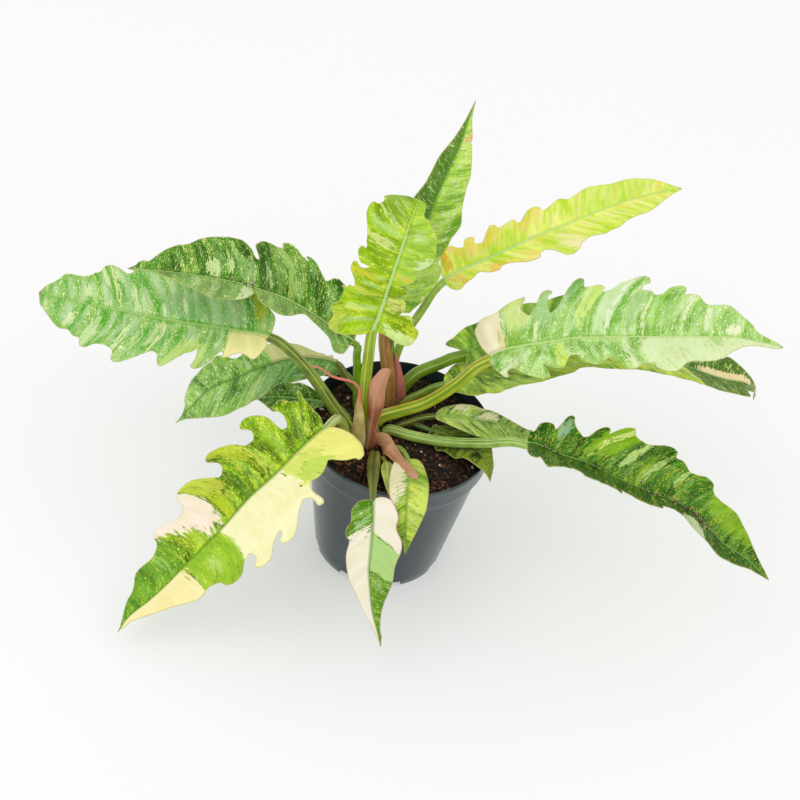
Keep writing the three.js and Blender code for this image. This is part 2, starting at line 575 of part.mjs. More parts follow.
// Solid of a closed geometry, its shared corners merged; shift may move each corner first
function solidOf(geometry, shift = () => {}) {
  geometry.deleteAttribute('normal');
  geometry.deleteAttribute('uv');
  const merged = mergeVertices(geometry, 1e-4);
  const place = merged.attributes.position;
  const points = [];
  for (let i = 0; i < place.count; i += 1) {
    const point = new THREE.Vector3().fromBufferAttribute(place, i);
    shift(point);
    points.push(point);
  }
  const faces = [];
  for (let i = 0; i < merged.index.count; i += 3) {
    const face = [merged.index.getX(i), merged.index.getX(i + 1), merged.index.getX(i + 2)];
    if (new Set(face).size === 3) {
      faces.push(face);
    }
  }
  return solidFrom(points, faces);
}

// Closed profile of [radius, z] points turned about the z axis
function turned(profile, segments) {
  const outline = [...profile, profile[0]].map(([r, z]) => new THREE.Vector2(r, z));
  return new THREE.LatheGeometry(outline, segments).rotateX(Math.PI / 2);
}

// Radius of the inside of the wall at a height below the rim band
function innerRadius(z) {
  return mix(footRadius, wallTop, z / bandFoot) - wallThickness;
}

function pot() {
  let body = solidOf(turned([
    [0, 0], [footRadius - 1, 0], [footRadius, 1], [wallTop, bandFoot],
    [rimRadius - 1.2, bandFoot + lipRounding], [rimRadius, potHeight - lipRounding],
    [rimRadius - 0.6, potHeight], [rimRadius - 1.6, potHeight],
    [rimRadius - 2.6, bandFoot + 2.2], [innerRadius(bandFoot), bandFoot + 0.6],
    [innerRadius(floorThickness), floorThickness], [0, floorThickness],
  ], roundSegments));
  for (let i = 0; i < drainCount; i += 1) {
    const slot = new THREE.BoxGeometry(drainDepth, drainWidth, 2 * drainHeight);
    slot.translate(footRadius, 0, 0);
    slot.rotateZ((i + 0.5) * 2 * Math.PI / drainCount);
    body = body.subtract(solidOf(slot));
  }
  return body;
}

// Soil: fills the pot, its top a little uneven
function soil() {
  const shoulder = innerRadius(bandFoot) - soilGap;
  const body = turned([
    [0, floorThickness], [innerRadius(floorThickness) - soilGap, floorThickness],
    [shoulder, bandFoot - 0.5], [shoulder + 0.6, soilLevel], [46, soilLevel], [22, soilLevel],
    [0, soilLevel],
  ], roundSegments / 2);
  return solidOf(body, (point) => {
    if (point.z > soilLevel - 1) {
      const hills = Math.sin(point.x * 0.16 + 1) * Math.sin(point.y * 0.19);
      const ripples = 0.5 * Math.sin(point.x * 0.31 - point.y * 0.23);
      const atWall = Math.hypot(point.x, point.y) > shoulder - 1;
      point.z += (hills + ripples) * (atWall ? soilSwellAtWall : soilSwell);
    }
  });
}

function crown(spec) {
  const [x, y] = spec.centre;
  const heights = [soilLevel - rootDepth, soilLevel + 1, mix(soilLevel, spec.top, 0.6), spec.top];
  const widths = [0.9, 1, 0.9, 0.55];
  const centres = heights.map((z) => new THREE.Vector3(x, y, z));
  return tube(centres, widths.map((w) => w * spec.radius), 12);
}

function apart(solid, others) {
  let result = solid;
  const mine = solid.boundingBox();
  for (const other of others) {
    const box = other.boundingBox();
    const meets = [0, 1, 2].every((k) => mine.min[k] < box.max[k] && mine.max[k] > box.min[k]);
    if (meets) {
      result = result.subtract(other);
    }
  }
  const bodies = result.decompose();
  bodies.sort((a, b) => b.volume() - a.volume());
  return bodies[0];
}

function meshOf(name, solid, colour, roughness) {
  const data = solid.getMesh();
  const geometry = new THREE.BufferGeometry();
  geometry.setAttribute('position', new THREE.BufferAttribute(new Float32Array(data.vertProperties), 3));
  geometry.setIndex(new THREE.BufferAttribute(new Uint32Array(data.triVerts), 1));
  geometry.computeVertexNormals();
  const material = new THREE.MeshStandardMaterial({ color: colour, roughness, metalness: 0 });
  const mesh = new THREE.Mesh(geometry, material);
  mesh.name = name;
  return mesh;
}

const plant = new THREE.Group();
plant.name = 'potted_philodendron';
const cleared = [];

const potBody = pot();
plant.add(meshOf('pot', potBody, 0x2c3a3e, 0.5));

for (const [name, spec] of [...Object.entries(leaves), ...Object.entries(sheaths)]) {
  const solid = apart(grown(spec, 0), cleared);
  cleared.push(grown(spec, clearance).add(solid));
  plant.add(meshOf(name, solid, spec.colour, spec.sheen));
}
for (const [name, spec] of Object.entries(crowns)) {
  const solid = apart(crown(spec), cleared);
  cleared.push(crown({ ...spec, radius: spec.radius + clearance, top: spec.top + clearance }));
  plant.add(meshOf(name, solid, spec.colour, 0.6));
}
plant.add(meshOf('soil', apart(soil(), cleared), 0x2a1d14, 0.95));

export default plant;
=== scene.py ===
import math
import random

import bpy
import numpy as np
from mathutils import Matrix, Vector
from mathutils.geometry import delaunay_2d_cdt


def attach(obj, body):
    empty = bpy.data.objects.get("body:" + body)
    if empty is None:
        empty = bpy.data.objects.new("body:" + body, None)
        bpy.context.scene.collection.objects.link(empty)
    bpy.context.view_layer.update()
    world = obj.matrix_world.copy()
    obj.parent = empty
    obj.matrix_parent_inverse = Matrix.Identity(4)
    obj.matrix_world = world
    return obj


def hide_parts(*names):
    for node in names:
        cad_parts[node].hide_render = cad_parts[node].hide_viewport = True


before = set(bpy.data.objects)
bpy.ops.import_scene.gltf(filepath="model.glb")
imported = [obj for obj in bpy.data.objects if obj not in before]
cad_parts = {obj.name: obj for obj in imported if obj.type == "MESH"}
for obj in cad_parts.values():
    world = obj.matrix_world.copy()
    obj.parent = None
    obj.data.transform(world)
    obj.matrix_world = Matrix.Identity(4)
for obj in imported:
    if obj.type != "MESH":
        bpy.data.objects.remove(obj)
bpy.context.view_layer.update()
mm = 0.001
print("frame loaded:", len(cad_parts), "nodes")


# Shader writing

def tint(code):  # six-figure screen colour to linear light
    parts = [int(code[k:k + 2], 16) / 255 for k in (0, 2, 4)]
    return tuple(c / 12.92 if c < 0.04045 else ((c + 0.055) / 1.055) ** 2.4 for c in parts) + (1.0,)


class Sock:  # a socket that can be written in sums
    def __init__(self, paint, socket):
        self.paint = paint
        self.socket = socket

    def out(self, name):
        return Sock(self.paint, self.socket.node.outputs[name])

    def calc(self, operation, *others):
        values = dict(enumerate([self, *others]))
        return self.paint.node("ShaderNodeMath", {"operation": operation}, values)

    def __add__(self, other):
        return self.calc("ADD", other)

    def __sub__(self, other):
        return self.calc("SUBTRACT", other)

    def __rsub__(self, other):
        return self.calc("MULTIPLY_ADD", -1.0, other)

    def __mul__(self, other):
        return self.calc("MULTIPLY", other)

    def __truediv__(self, other):
        return self.calc("DIVIDE", other)

    def __gt__(self, other):
        return self.calc("GREATER_THAN", other)

    __radd__ = __add__
    __rmul__ = __mul__

    def size(self):  # without its sign
        return self.calc("ABSOLUTE")

    def ramp(self, low, high, start=0.0, end=1.0):  # eased step between two values
        settings = {"interpolation_type": "SMOOTHSTEP"}
        return self.paint.node("ShaderNodeMapRange", settings, {0: self, 1: low, 2: high, 3: start, 4: end})


class Paint:  # one material and its nodes
    def __init__(self, name):
        self.material = bpy.data.materials.new(name)
        self.material.use_nodes = True
        self.tree = self.material.node_tree
        self.tree.nodes.clear()

    def node(self, kind, settings=None, values=None, output=0):
        made = self.tree.nodes.new(kind)
        for key, value in (settings or {}).items():
            if key == "stops":
                for spot, (place, colour) in enumerate(value):
                    stop = made.color_ramp.elements[spot] if spot < 2 else made.color_ramp.elements.new(place)
                    stop.position = place
                    stop.color = colour
            else:
                setattr(made, key, value)
        for key, value in (values or {}).items():
            if isinstance(value, Sock):
                self.tree.links.new(value.socket, made.inputs[key])
            else:
                made.inputs[key].default_value = value
        return Sock(self, made.outputs[output]) if made.outputs else None

    def place(self):  # the spot on the piece, in metres
        return self.node("ShaderNodeTexCoord", {}, {}, "Object")

    def field(self, name, output="Fac"):  # values kept on the mesh points
        return self.node("ShaderNodeAttribute", {"attribute_name": name}, output=output)

    def split(self, vector):  # its X, whose out() gives its Y and Z
        return self.node("ShaderNodeSeparateXYZ", {}, {0: vector})

    def join(self, *parts):
        return self.node("ShaderNodeCombineXYZ", {}, dict(enumerate(parts)))

    def blend(self, amount, under, over):
        settings = {"data_type": "RGBA", "blend_type": "MIX", "clamp_factor": True}
        return self.node("ShaderNodeMix", settings, {0: amount, 6: under, 7: over}, 2)

    def noise(self, place, size, detail=2.0, roughness=0.5, shift=0.0):  # size is one number or one an axis
        spans = size if isinstance(size, tuple) else (size,) * 3
        where = self.node("ShaderNodeVectorMath", {"operation": "MULTIPLY_ADD"},
                          {0: place, 1: tuple(1 / s for s in (*spans, 1)[:3]), 2: (shift, shift * 0.7, 0.0)})
        return self.node("ShaderNodeTexNoise", {}, {"Vector": where, "Scale": 1.0, "Detail": detail,
                                                    "Roughness": roughness})

    def finish(self, colour, roughness, relief=None, others=None):  # relief: height, strength and depth
        values = {"Base Color": colour, "Roughness": roughness, **(others or {})}
        if relief:
            bump = dict(zip(("Height", "Strength", "Distance"), relief))
            values["Normal"] = self.node("ShaderNodeBump", {}, bump)
        shader = self.node("ShaderNodeBsdfPrincipled", {}, values)
        self.node("ShaderNodeOutputMaterial", {}, {"Surface": shader})
        return self.material


# Meshes, written in mm

def meshPiece(name, points, faces, fields, paint, node, sharpness=50):
    mesh = bpy.data.meshes.new(name)
    mesh.from_pydata((np.asarray(points) * mm).tolist(), [], faces)
    mesh.validate()
    for key, values in fields.items():
        values = np.asarray(values, np.float32)
        kind, entry = ("FLOAT_VECTOR", "vector") if values.ndim > 1 else ("FLOAT", "value")
        mesh.attributes.new(key, kind, "POINT").data.foreach_set(entry, values.ravel())
    mesh.polygons.foreach_set("use_smooth", [True] * len(mesh.polygons))
    mesh.set_sharp_from_angle(angle=math.radians(sharpness))
    mesh.materials.append(paint)
    piece = bpy.data.objects.new(name, mesh)
    bpy.context.scene.collection.objects.link(piece)
    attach(piece, "root")
    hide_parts(node)
    return piece


def circle(turn, radius, z, x=0, y=0):
    return np.stack([x + radius * np.cos(turn), y + radius * np.sin(turn), z + 0 * turn], -1)


def aroundTurn(sides):
    return np.arange(sides) * 2 * np.pi / sides


def ringFaces(rings, sides, rising=True):  # quads from ring to ring, and a cap at each end
    faces = []
    for i in range(rings - 1):
        for k in range(sides):
            low, lowNext = i * sides + k, i * sides + (k + 1) % sides
            high, highNext = low + sides, lowNext + sides
            faces.append((low, lowNext, highNext, high) if rising else (low, high, highNext, lowNext))
    first, last = tuple(range(sides)), tuple(range((rings - 1) * sides, rings * sides))
    return faces + ([first[::-1], last] if rising else [first, last[::-1]])


# a turned piece from rings of (x, y, z, radius)
def turnedPiece(name, rings, sides, paint, node, sharpness=50, rough=0.0, seed=0):
    turn = aroundTurn(sides)
    bumps = np.random.default_rng(seed).uniform(0, 6.3, 6)
    points = []
    for i, (x, y, z, radius) in enumerate(rings):
        ripple = sum(np.sin(turn * (k + 2) + bumps[k] + i * 0.7 * (k - 2)) for k in range(5)) * rough / 3
        points.append(circle(turn, radius * (1 + ripple), z, x, y))
    return meshPiece(name, np.vstack(points), ringFaces(len(rings), sides), {}, paint, node, sharpness)


boxCorners = [(x, y, z) for z in (-1, 1) for x, y in ((-1, -1), (1, -1), (1, 1), (-1, 1))]
boxFaces = [(3, 2, 1, 0), (4, 5, 6, 7), (0, 1, 5, 4), (1, 2, 6, 5), (2, 3, 7, 6), (3, 0, 4, 7)]


def boxCells(count):  # faces of many small boxes, one after the other
    return [tuple(8 * k + v for v in cell) for k in range(count) for cell in boxFaces]


# Leaves

# A leaf runs up its stalk and on along its midrib. The blade is laid out along that line (a) and
# across it (w), in mm: left and right are its margins from base to tip, and crests are the places
# along it where the margin turns up and down. A patch is a colour, a side (-1 left, 1 right, 0 both),
# a from and to, w from and to, and how strongly it covers.
# Most margins are points that a separate program worked out, from the leaves' edges in the photograph
# and from points read off it by eye. Most ground, fleck and stalk colours are from one that compared
# the average colour of each leaf in the photograph and in a render.
leaves = {
    "leaf_young_upright": {
        "stalk": [[-26, -16, 110], [-26, -16, 118], [-28, -16, 152], [-30, -16, 185]],
        "rib": [[-31, -15, 224], [-29, -12, 236], [-27, -8, 249], [-25, -3, 264], [-23, 4, 277],
            [-21, 12, 289], [-19, 24, 299.5], [-17, 36.5, 302.5], [-16, 46.5, 298], [-15, 53.5, 288.5]],
        "facing": [[0.15, -0.9, 0.3], [0.15, -0.75, 0.65], [0.15, -0.4, 0.9], [0.1, 0.1, 1], [0.1, 0.6, 0.8]],
        "fold": [8, 4, 0, 0], "curl": [10, 15, 15], "half": 36, "sweep": [-0.5, 0.35], "wave": 1.6,
        "crests": [[0, 9, 11, 14, 29, 38, 45, 50, 53, 76, 92, 96],
            [0, 14, 22, 26, 38, 47, 51, 59, 67, 75, 88, 97]],
        "left": """-0.5,2.6 -1.8,6.9 -0.3,13.8 2.2,20.1 5.1,25.8 8.7,31.4 10.7,30.3 13,33.7 14.6,32.6
            15.7,29.8 17.8,28.9 20.1,28.7 22.4,29.5 22.8,27.5 24.8,26.1 25.6,23.4 26.5,22.8 30.5,24.2
            33.8,28.7 36.3,28.9 39.1,28 40.8,26.2 39.8,22.9 40.4,20.6 43.8,16.8 43.4,19.9 42.4,22.3 42.5,23.8
            44.4,26.1 47.4,27.5 49.7,27.1 51.6,26.1 52.5,25.3 52.6,23.3 54.2,22.8 57.1,24.4 59.1,24.7
            66.5,27.5 71.9,30.2 78.6,30.6 80.6,30.2 83,29.1 83.9,28.1 84.3,25.3 89.8,22.1 93.8,24 97.8,22.6
            101.8,20.5 105.8,17.5 109.8,13.8 113.8,9.6 117.8,4.8""",
        "right": """1,0.3 1.4,9 -0.9,18.4 0,22.8 3,26.9 6.9,29.9 11.9,31 13.3,30.6 14.6,25.3 17.7,23.1 19,19.1
            18.6,13.7 21.1,15.5 24.9,15.5 29.3,12.2 31.1,7.6 32.5,13.6 36.4,12.2 38.3,8.3 38.1,5.6 39.3,10
            41.9,13.9 44.9,16.3 47.9,16.8 50.5,13.6 50.8,12.5 51.3,16.3 53.6,20.8 56.7,23.7 62.2,24 68.6,22.3
            78,19.6 83,15.8 87,13.2 89.6,11 90.6,8.6 92,7.4 95,6.8 99,6.5 102,6 106,5 110,3.8 114,2.7
            118,1.5""",
        "radius": [5.2, 3.6], "slot": "leaf_yellow", "seed": 1, "quilt": (9, 0.5),
        "ground": ("729600", "a8d600", "d4e838"), "fleck": ("f8fc78", 0.5, 0.5), "ribColour": "b9dc9a",
        "stalkColours": ("83810b", "a0c41c"), "sheen": 0.22, "slant": (-0.15, -0.15, 0.7),
        "lines": [("b8d83c", -0.35, 0.2), ("84a81c", 0.2, 0.25), ("b4d440", 0.8, 0.2)], "ribFade": (66, 88),
        # of these patches e0f4bc and e8f4a0 are painted sheen, and dcf0a0 is pale green of its own with
        # painted sheen on it
        "patches": [("b4e060", 1, 40, 130, -1, 60, 0.4), ("e0f4bc", 1, 51, 62, 12, 34, 0.75),
            ("dcf0a0", 1, -8, 15, 5, 40, 0.95), ("d4dc30", 1, 14, 19, 10, 40, 0.7),
            ("f0f090", 1, 20, 31, 2, 40, 0.7), ("ecd040", 1, 43, 50, 2, 40, 0.6),
            ("d4e060", -1, -2, 22, 22, 60, 0.6), ("e8e460", -1, 28, 32, 6, 30, 0.6),
            ("ecd848", -1, 38, 44, 8, 36, 0.5), ("e8f4a0", -1, 62, 68, 4, 26, 0.7),
            ("d8f4a8", -1, 76, 79, 2, 30, 0.5), ("d8f4a8", -1, 84, 87, 2, 30, 0.5),
            ("e8f4c8", 1, 72, 75, 2, 16, 0.5)],
    },
    "leaf_left_long": {
        "stalk": [[-34, -11, 110], [-34, -11, 118], [-53, -6, 142], [-71, -2, 163], [-88, 2, 177]],
        "rib": [[-102, 6, 183], [-130, 13, 176], [-157, 19, 169], [-188, 27, 160], [-216, 34, 154],
            [-240, 40, 148], [-264, 46, 144], [-286, 52, 140]],
        "facing": [[-0.2, -0.35, 0.92], [-0.25, -0.3, 0.92]], "fold": [14, 10, 8], "curl": [6, 10],
        "half": 45, "sweep": [-0.35, 0.45], "wave": 2,
        "crests": [[0, 23, 32, 39, 51, 57, 78, 92, 118, 130, 139, 160],
            [0, 30, 50, 74, 84, 104, 125, 136, 165, 176]],
        "left": """0,1 3.5,3.1 1,6 0.9,11.6 3.7,18.9 8.2,24.2 16.8,19.7 22.3,22 26.5,25.9 28.1,21.7 30,21.3
            30.7,25.5 30.3,29.5 32.2,38 33.9,39.3 36,38.6 38.9,36.1 40.8,30.5 47.4,21.6 48.4,25.1 51.1,27.4
            51.2,30.1 52.5,32.3 52.8,35 55,36.4 57.8,39.7 60.4,39.3 65.6,35.4 68.4,32.1 69.3,30 69.4,31.2
            75.6,29.5 81,35.4 83.5,40.1 87.6,42.4 90.7,42.9 93.4,42.8 96.5,41.5 102.6,35.3 109.2,32.8
            115.4,32.1 118.6,32.4 122.3,34.5 123.6,35.9 128.6,36 131.6,34.7 136.6,29.9 141.4,29.5 151.1,25
            156.6,25.4 161.2,24.3 180.1,14.3 188.3,8.9""",
        "right": """1.1,0.6 3.7,12.2 5.6,15.5 16.6,25 20.5,30.2 24,35 28,35.9 32,35.7 36,34.8 40,33.8 44,33.2
            48,33 52,34.2 56,36.8 60,38.9 64,40.5 68,41.5 72,42 76,40 80,35.2 84,34 88,37.7 92,40.9 96,43.3
            100,44.6 104,45 108,41.6 114.9,33.6 118.4,31.1 121.7,30.6 124,32.3 130.8,35.5 133.8,36.4 136,36.5
            138.7,35.5 141.4,33.9 146.3,28.4 150.8,26.5 153,24.7 160,21.5 164.4,21 173.6,20.9 175.7,20.4
            177.5,19.5 182.7,13.5 190.7,7""",
        "radius": [5.8, 3.4], "slot": "leaf_green", "seed": 2, "quilt": (13, 0.8),
        "ground": ("4ba815", "9fcc68", "a8d454"), "fleck": ("f8fcd1", 0.8, 0.6), "ribColour": "a3c873",
        "stalkColours": ("405706", "87a01b"), "sheen": 0.3, "slant": (-0.25, 0.3, 0),
        "lines": [("a8b850", 0.75, 0.35), ("c4cc74", -0.1, 0.12)],
        # the first patch, a8cc98, is a painted sheen near the base of the right half
        "patches": [("a8cc98", 1, 18, 84, 3, 24, 0.55), ("fff6b0", -1, -9, 34, -1, 60, 1),
            ("d8ec88", -1, 42, 72, 14, 50, 0.7), ("eef4b4", -1, 84, 88, 4, 34, 0.9),
            ("d8eca0", -1, 88, 94, 12, 26, 0.6), ("c8e8a0", -1, 99, 105, 10, 34, 0.8),
            ("e4f4b8", -1, 111, 116, 14, 36, 0.97), ("cce8a4", -1, 136, 144, 4, 40, 0.95),
            ("e4f4b8", -1, 158, 164, 10, 22, 0.97), ("c8cc30", 1, 4, 14, 6, 40, 0.8),
            ("3c7410", 1, 14, 20, 6, 40, 0.6), ("e4f0b8", 1, 82, 88, 2, 9, 0.97),
            ("dcf0b0", 1, 66, 71, 8, 18, 0.97), ("dcf0b0", 1, 108, 113, 3, 20, 0.97),
            ("e4f0a8", 1, 122, 127, 8, 34, 0.95), ("dcf0b0", 1, 131, 135, 16, 32, 0.95),
            ("dcf0b0", 1, 148, 154, 3, 16, 0.97), ("c8ec98", 1, 36, 41, 12, 24, 0.8)],
    },
    "leaf_left_arching": {
        "stalk": [[-34, 19, 110], [-34, 19, 118], [-37, 19, 140], [-40, 19, 165]],
        "rib": [[-44, 19, 182], [-57, 20, 187], [-67, 21, 193], [-79, 21, 200], [-92, 22, 205],
            [-105, 23, 208], [-119, 23, 210], [-131, 24, 211], [-161, 26, 209], [-186, 27, 206],
            [-214, 28, 202]],
        "facing": [[-0.3, -0.1, 0.95], [-0.1, 0, 1]], "fold": [20, 25, 25], "curl": [8, 16], "half": 38,
        "sweep": [-0.8, 0.4], "wave": 1.8,
        "crests": [[0, 8, 42, 68, 80, 86, 99, 109], [0, 14, 16, 44, 46, 55, 58, 76, 83, 92]],
        "left": """0,1 10.5,19.3 14,23.2 16.5,23.6 19.2,12.7 24.4,11.2 31.6,11.6 37.7,8 42.2,6.5 45.5,9.8
            47.8,18.4 50.5,22.5 54.6,24 60.5,23.1 68,21.4 74.9,16.1 80.3,6.6 81,12.1 80.6,21.2 82.3,26.1
            87.1,28.1 95.6,32.7 108.6,26.4 127.1,18.5 138.7,12.6 150.9,5.4 159.5,2.1 165.5,1.7 170.3,2.9
            173.2,2""",
        "right": """0,1 4,9.3 8,12.2 12,13.8 16,14 20,18.7 26.5,35.8 32,28.8 34.3,31.2 36.1,37.7 37.5,40
            39.6,40.3 41,39.8 42.2,38.6 41.2,37.5 41.6,36.6 42.7,36.2 43.5,36.7 45.3,35.4 44.8,36.8 46.5,35.2
            48.4,41.6 49.5,43.3 50.6,43.8 52.6,43.3 53.8,40.8 58.9,36.8 68,39.3 73,39.6 76.3,37.7 81.1,32.2
            81.9,27.4 81.8,23.2 82.8,22.3 83.9,22.8 84.8,28.7 86.8,33.5 88.4,35.9 89.8,37.1 92.4,37.6
            98.4,37.4 110.6,35 118.8,32.2 128.1,26.8 133.9,24.5 139.3,23.4 141.4,22.4 150,17.8 161.8,7.9
            163.6,7.1 165.2,7.3 168,6.9 170.2,5.4 171,3.8""",
        "radius": [3.6, 2.8], "slot": "leaf_dark_green", "seed": 3, "quilt": (12, 0.6),
        "ground": ("2c5702", "57a115", "8cb840"), "fleck": ("eef59b", 0.8, 0.6), "ribColour": "b8cf8a",
        "stalkColours": ("6f9913", "85b612"), "slant": (-0.4, 0.1, 0), "ribHalf": 0.8,
        "patches": [("98bc6c", -1, 14, 190, -1, 60, 0.5), ("d4e4b0", -1, 84, 94, 2, 34, 0.95),
            ("c8dc9c", -1, 108, 114, 4, 34, 0.7), ("c8dc9c", -1, 124, 129, 2, 20, 0.8),
            ("a8c868", 1, 53, 59, -1, 50, 0.9), ("8cac50", 1, 62, 66, -1, 50, 0.6),
            # the pale patch b0d094 at 83 to 89 is a painted sheen highlight
            ("2c5c18", 1, 67, 81, -1, 60, 0.5), ("b0d094", 1, 83, 89, -1, 24, 0.5),
            ("d0e8a0", 1, 108, 119, 2, 17, 0.97), ("d0e8a0", 1, 98, 102, 6, 22, 0.97),
            ("d0e4a0", 1, 70, 74, 4, 20, 0.6)],
    },
    "leaf_back_upright": {
        "stalk": [[-16, 33, 110], [-16, 34, 118], [-16, 34, 140], [-18, 34, 170]],
        "rib": [[-19, 34, 204], [-17, 38, 222], [-14, 45, 244], [-10, 53, 263], [-7, 60, 279], [-4, 67, 294],
            [0, 75, 309], [4, 83, 324], [6, 90, 339], [8.6, 97.7, 353.1]],
        "facing": [[0.1, -0.95, 0.4], [0.1, -0.95, 0.4]], "fold": [15, 20, 25], "curl": [4, 8], "half": 30,
        "sweep": [-0.3, 0.5], "wave": 1.2, "crests": [[0, 30, 45, 65], [0, 34, 47, 72]],
        "left": """0,1 4,12.8 8,14 12,15.5 16,17 20,18.3 24,19.4 28,19.9 32,19.7 36,18.3 40,16.8 44,16 48,16.3
            52,17.1 56,17.9 60,18.6 64,19 68,18.5 72,17.8 76,17.1 83,16.6 95.4,13 102,12.2 115.5,11.7
            121.7,10.6 148.5,2.6 155.8,1.4""",
        "right": """0,1 4,10.2 8,11.9 12,14.1 16,16.5 20,18.7 24,20.7 28,22.2 32,22.9 36,22.5 40,20.4 44,18.5
            48,18.1 52,18.7 58.1,20 60.5,20 69.4,23.2 72.5,23.1 83.8,20.1 103.3,16.8 111.9,15.8 133.5,8
            135,7.2 135.6,5.6 136.3,7 152.8,2""",
        "radius": [3.6, 2.8], "slot": "leaf_green", "seed": 4, "quilt": (9, 0.3),
        "ground": ("599913", "c4f042", "c4e858"), "fleck": ("f8ead6", 0.8, 0.55), "ribColour": "6d9c40",
        "stalkColours": ("4c7c24", "6a9a34"), "slant": (0.4, 0.4, 0),
        "patches": [("3c6410", -1, -9, 300, -1, 60, 0.45), ("47761c", -1, -9, 170, -1, 60, 0.75),
            ("e2b070", 1, 134, 139, 3, 12, 0.9)],
    },
    "leaf_right_yellow": {
        "stalk": [[-11, 41, 110], [-11, 41, 118], [-13, 40, 153], [-9, 43, 176], [-1, 50, 195]],
        "rib": [[11, 61, 220], [28, 77, 224], [48, 95, 227], [68, 113, 231], [89, 131, 234], [110, 151, 235],
            [132, 170, 237], [155, 191, 235], [181, 214, 231]],
        "facing": [[0, -0.1, 1], [0, -0.12, 1]], "fold": [12, 14, 14], "curl": [6, 8], "half": 32,
        "sweep": [-0.2, 0.4], "wave": 1.6,
        "crests": [[0, 19, 29, 35, 42, 53, 61, 70, 76, 91, 100, 115, 124, 137, 152, 167],
            [0, 3, 25, 46, 76, 88, 110, 126, 140, 166]],
        "left": """-0.7,0 1.9,5.3 6.5,12 11.5,18.3 16.3,21.7 20.7,22.9 23.7,18.8 27,16.4 27.9,16.8 29.8,20.4
            31.2,21.8 33.6,22.9 35.5,22.7 36.9,21.2 37.3,20 36.5,17 36.6,15.8 41.8,14.1 45,17.2 50.6,24.4
            52,24.9 55.2,23.4 57.9,19.9 59.6,19.1 62,19.2 70.7,21.3 72.3,20.1 75.1,16.4 76.2,16 78.6,17.3
            81.8,20.9 84.3,23 86.5,23.9 89.1,24.3 91.6,24 93.7,23.2 95.3,21.8 97.5,18.3 98.6,17.8 102.8,18.6
            114.6,22.8 117.7,22 123.5,18.8 139.6,23 150.5,20.7 164.6,19.1 182.3,19.1 198.5,15.4 209.7,11.8""",
        "right": """0,1 -0.9,3.3 -0.5,8.6 0.4,11.4 2.9,14.7 5.2,15.9 11,13.8 18.7,11.8 22.6,9.8 27,9.5
            29.2,12.4 30.9,13.8 32.7,14.4 38.5,14.9 42.6,12 48.7,13.1 53.7,15.9 56.9,19.2 65.1,21.6 67.5,20.9
            71.9,17.5 76,17 79.5,18.1 80.6,19.1 80.6,24.1 78.6,29.8 79.2,30.5 80.8,31 94.2,27.8 100.1,24.7
            108.9,22.7 111.9,22.3 121.8,23.8 131.6,23.6 137.9,24.3 142.1,23.4 148.5,21 154.6,19.6 164.5,18.4
            169.9,18.7 178,17.4 183.6,16.1 219.9,3.5 226.4,1.9""",
        "radius": [3.8, 2.8], "slot": "leaf_yellow", "seed": 5, "quilt": (10, 0.4),
        "ground": ("b3de07", "f9ff77", "f0dc50"), "fleck": ("f8d0d4", 0.6, 0.7), "ribColour": "b4dc90",
        "stalkColours": ("708d12", "b2dd4e"), "sheen": 0.1, "slant": (0.4, 0.4, 0),
        "lines": [("b4cc58", -0.4, 0.15), ("c4d480", 0.5, 0.2)],
        "patches": [("f0a030", -1, 2, 11, 4, 40, 0.8), ("f4b048", 1, 0, 9, 4, 40, 0.7),
            ("fdf0b8", 1, 78, 98, 17, 40, 0.95), ("f4ecb0", 1, 84, 104, 8, 40, 0.4),
            ("f0cc48", 0, 4, 60, 7, 40, 0.5), ("f4c858", -1, 60, 90, 8, 40, 0.4),
            ("c8ea64", -1, 120, 200, -1, 40, 0.4), ("f8b048", 1, 20, 50, 8, 40, 0.4)],
    },
    "leaf_right_long": {
        "stalk": [[-19, 6, 110], [-18, 6, 118], [-14, 7, 125], [-2, 10, 131], [15, 15, 139], [34, 20, 158]],
        "rib": [[54, 25, 187], [67, 29, 195], [88, 34, 201], [109, 40, 206], [130, 46, 207], [159, 53, 209],
            [188, 61, 210], [210, 67, 210], [229, 72, 210], [249, 77, 206], [268, 83, 201]],
        "facing": [[-0.2, -0.1, 1], [0, -0.05, 1]], "fold": [20, 18, 18], "curl": [6, 14], "half": 45,
        "sweep": [-0.3, 0.4], "wave": 2.6,
        "crests": [[0, 26, 30, 40, 48, 52, 67, 73, 79, 102, 117, 135, 145, 150, 167, 180],
            [0, 11, 20, 32, 34, 41, 51, 82, 92, 100, 126, 148]],
        "left": """0.4,1.1 -1.3,6.2 -1.7,12.2 -0.6,18.4 1.6,24 3.9,26.2 9.4,29.8 14.8,31.3 17.1,32.4 26,41.6
            27.8,40.6 28.9,37.7 26.9,32.8 28,28.1 31.6,24 35.5,32.9 36.5,41.7 37.5,44.4 39,45.1 41.5,42.7
            41.8,40.3 40.9,40 46,23.6 48.6,25.3 50.1,29.3 49.7,44.5 49.8,49.8 50.7,54.3 51.4,55.2 54.4,53.2
            59.4,45.5 62.1,43 64.8,42.4 67.2,42.8 70.7,46.8 72.3,47.3 73.7,46.1 74.9,44 75.3,42.8 74.5,42.2
            75.2,40.7 76.9,39 78.8,38.7 81.7,39.8 83,41 85.1,45.6 89.4,49.8 93.6,55.5 97,57.6 99.2,57.7
            102.2,56.4 103.9,55.1 107.1,51 107.3,49.4 104.8,49.4 103.9,48.4 104,45.9 105.7,43.2 114,38.9
            118.5,35.8 119.8,35.5 123.5,37 126.2,43.5 129,46.8 131.5,48.3 133.7,48.2 136.2,47 137.9,45
            139.6,41.6 140.1,38.3 141.1,37 143.4,36.4 145.1,36.5 148.9,38.9 151.2,38.6 159.2,29.7 163.2,27.7
            170,27.5 175.5,29 179,28.8 189.2,20.8 193.8,18.4 199.1,14.6 204.3,9 210.5,6.4 221.4,3.2""",
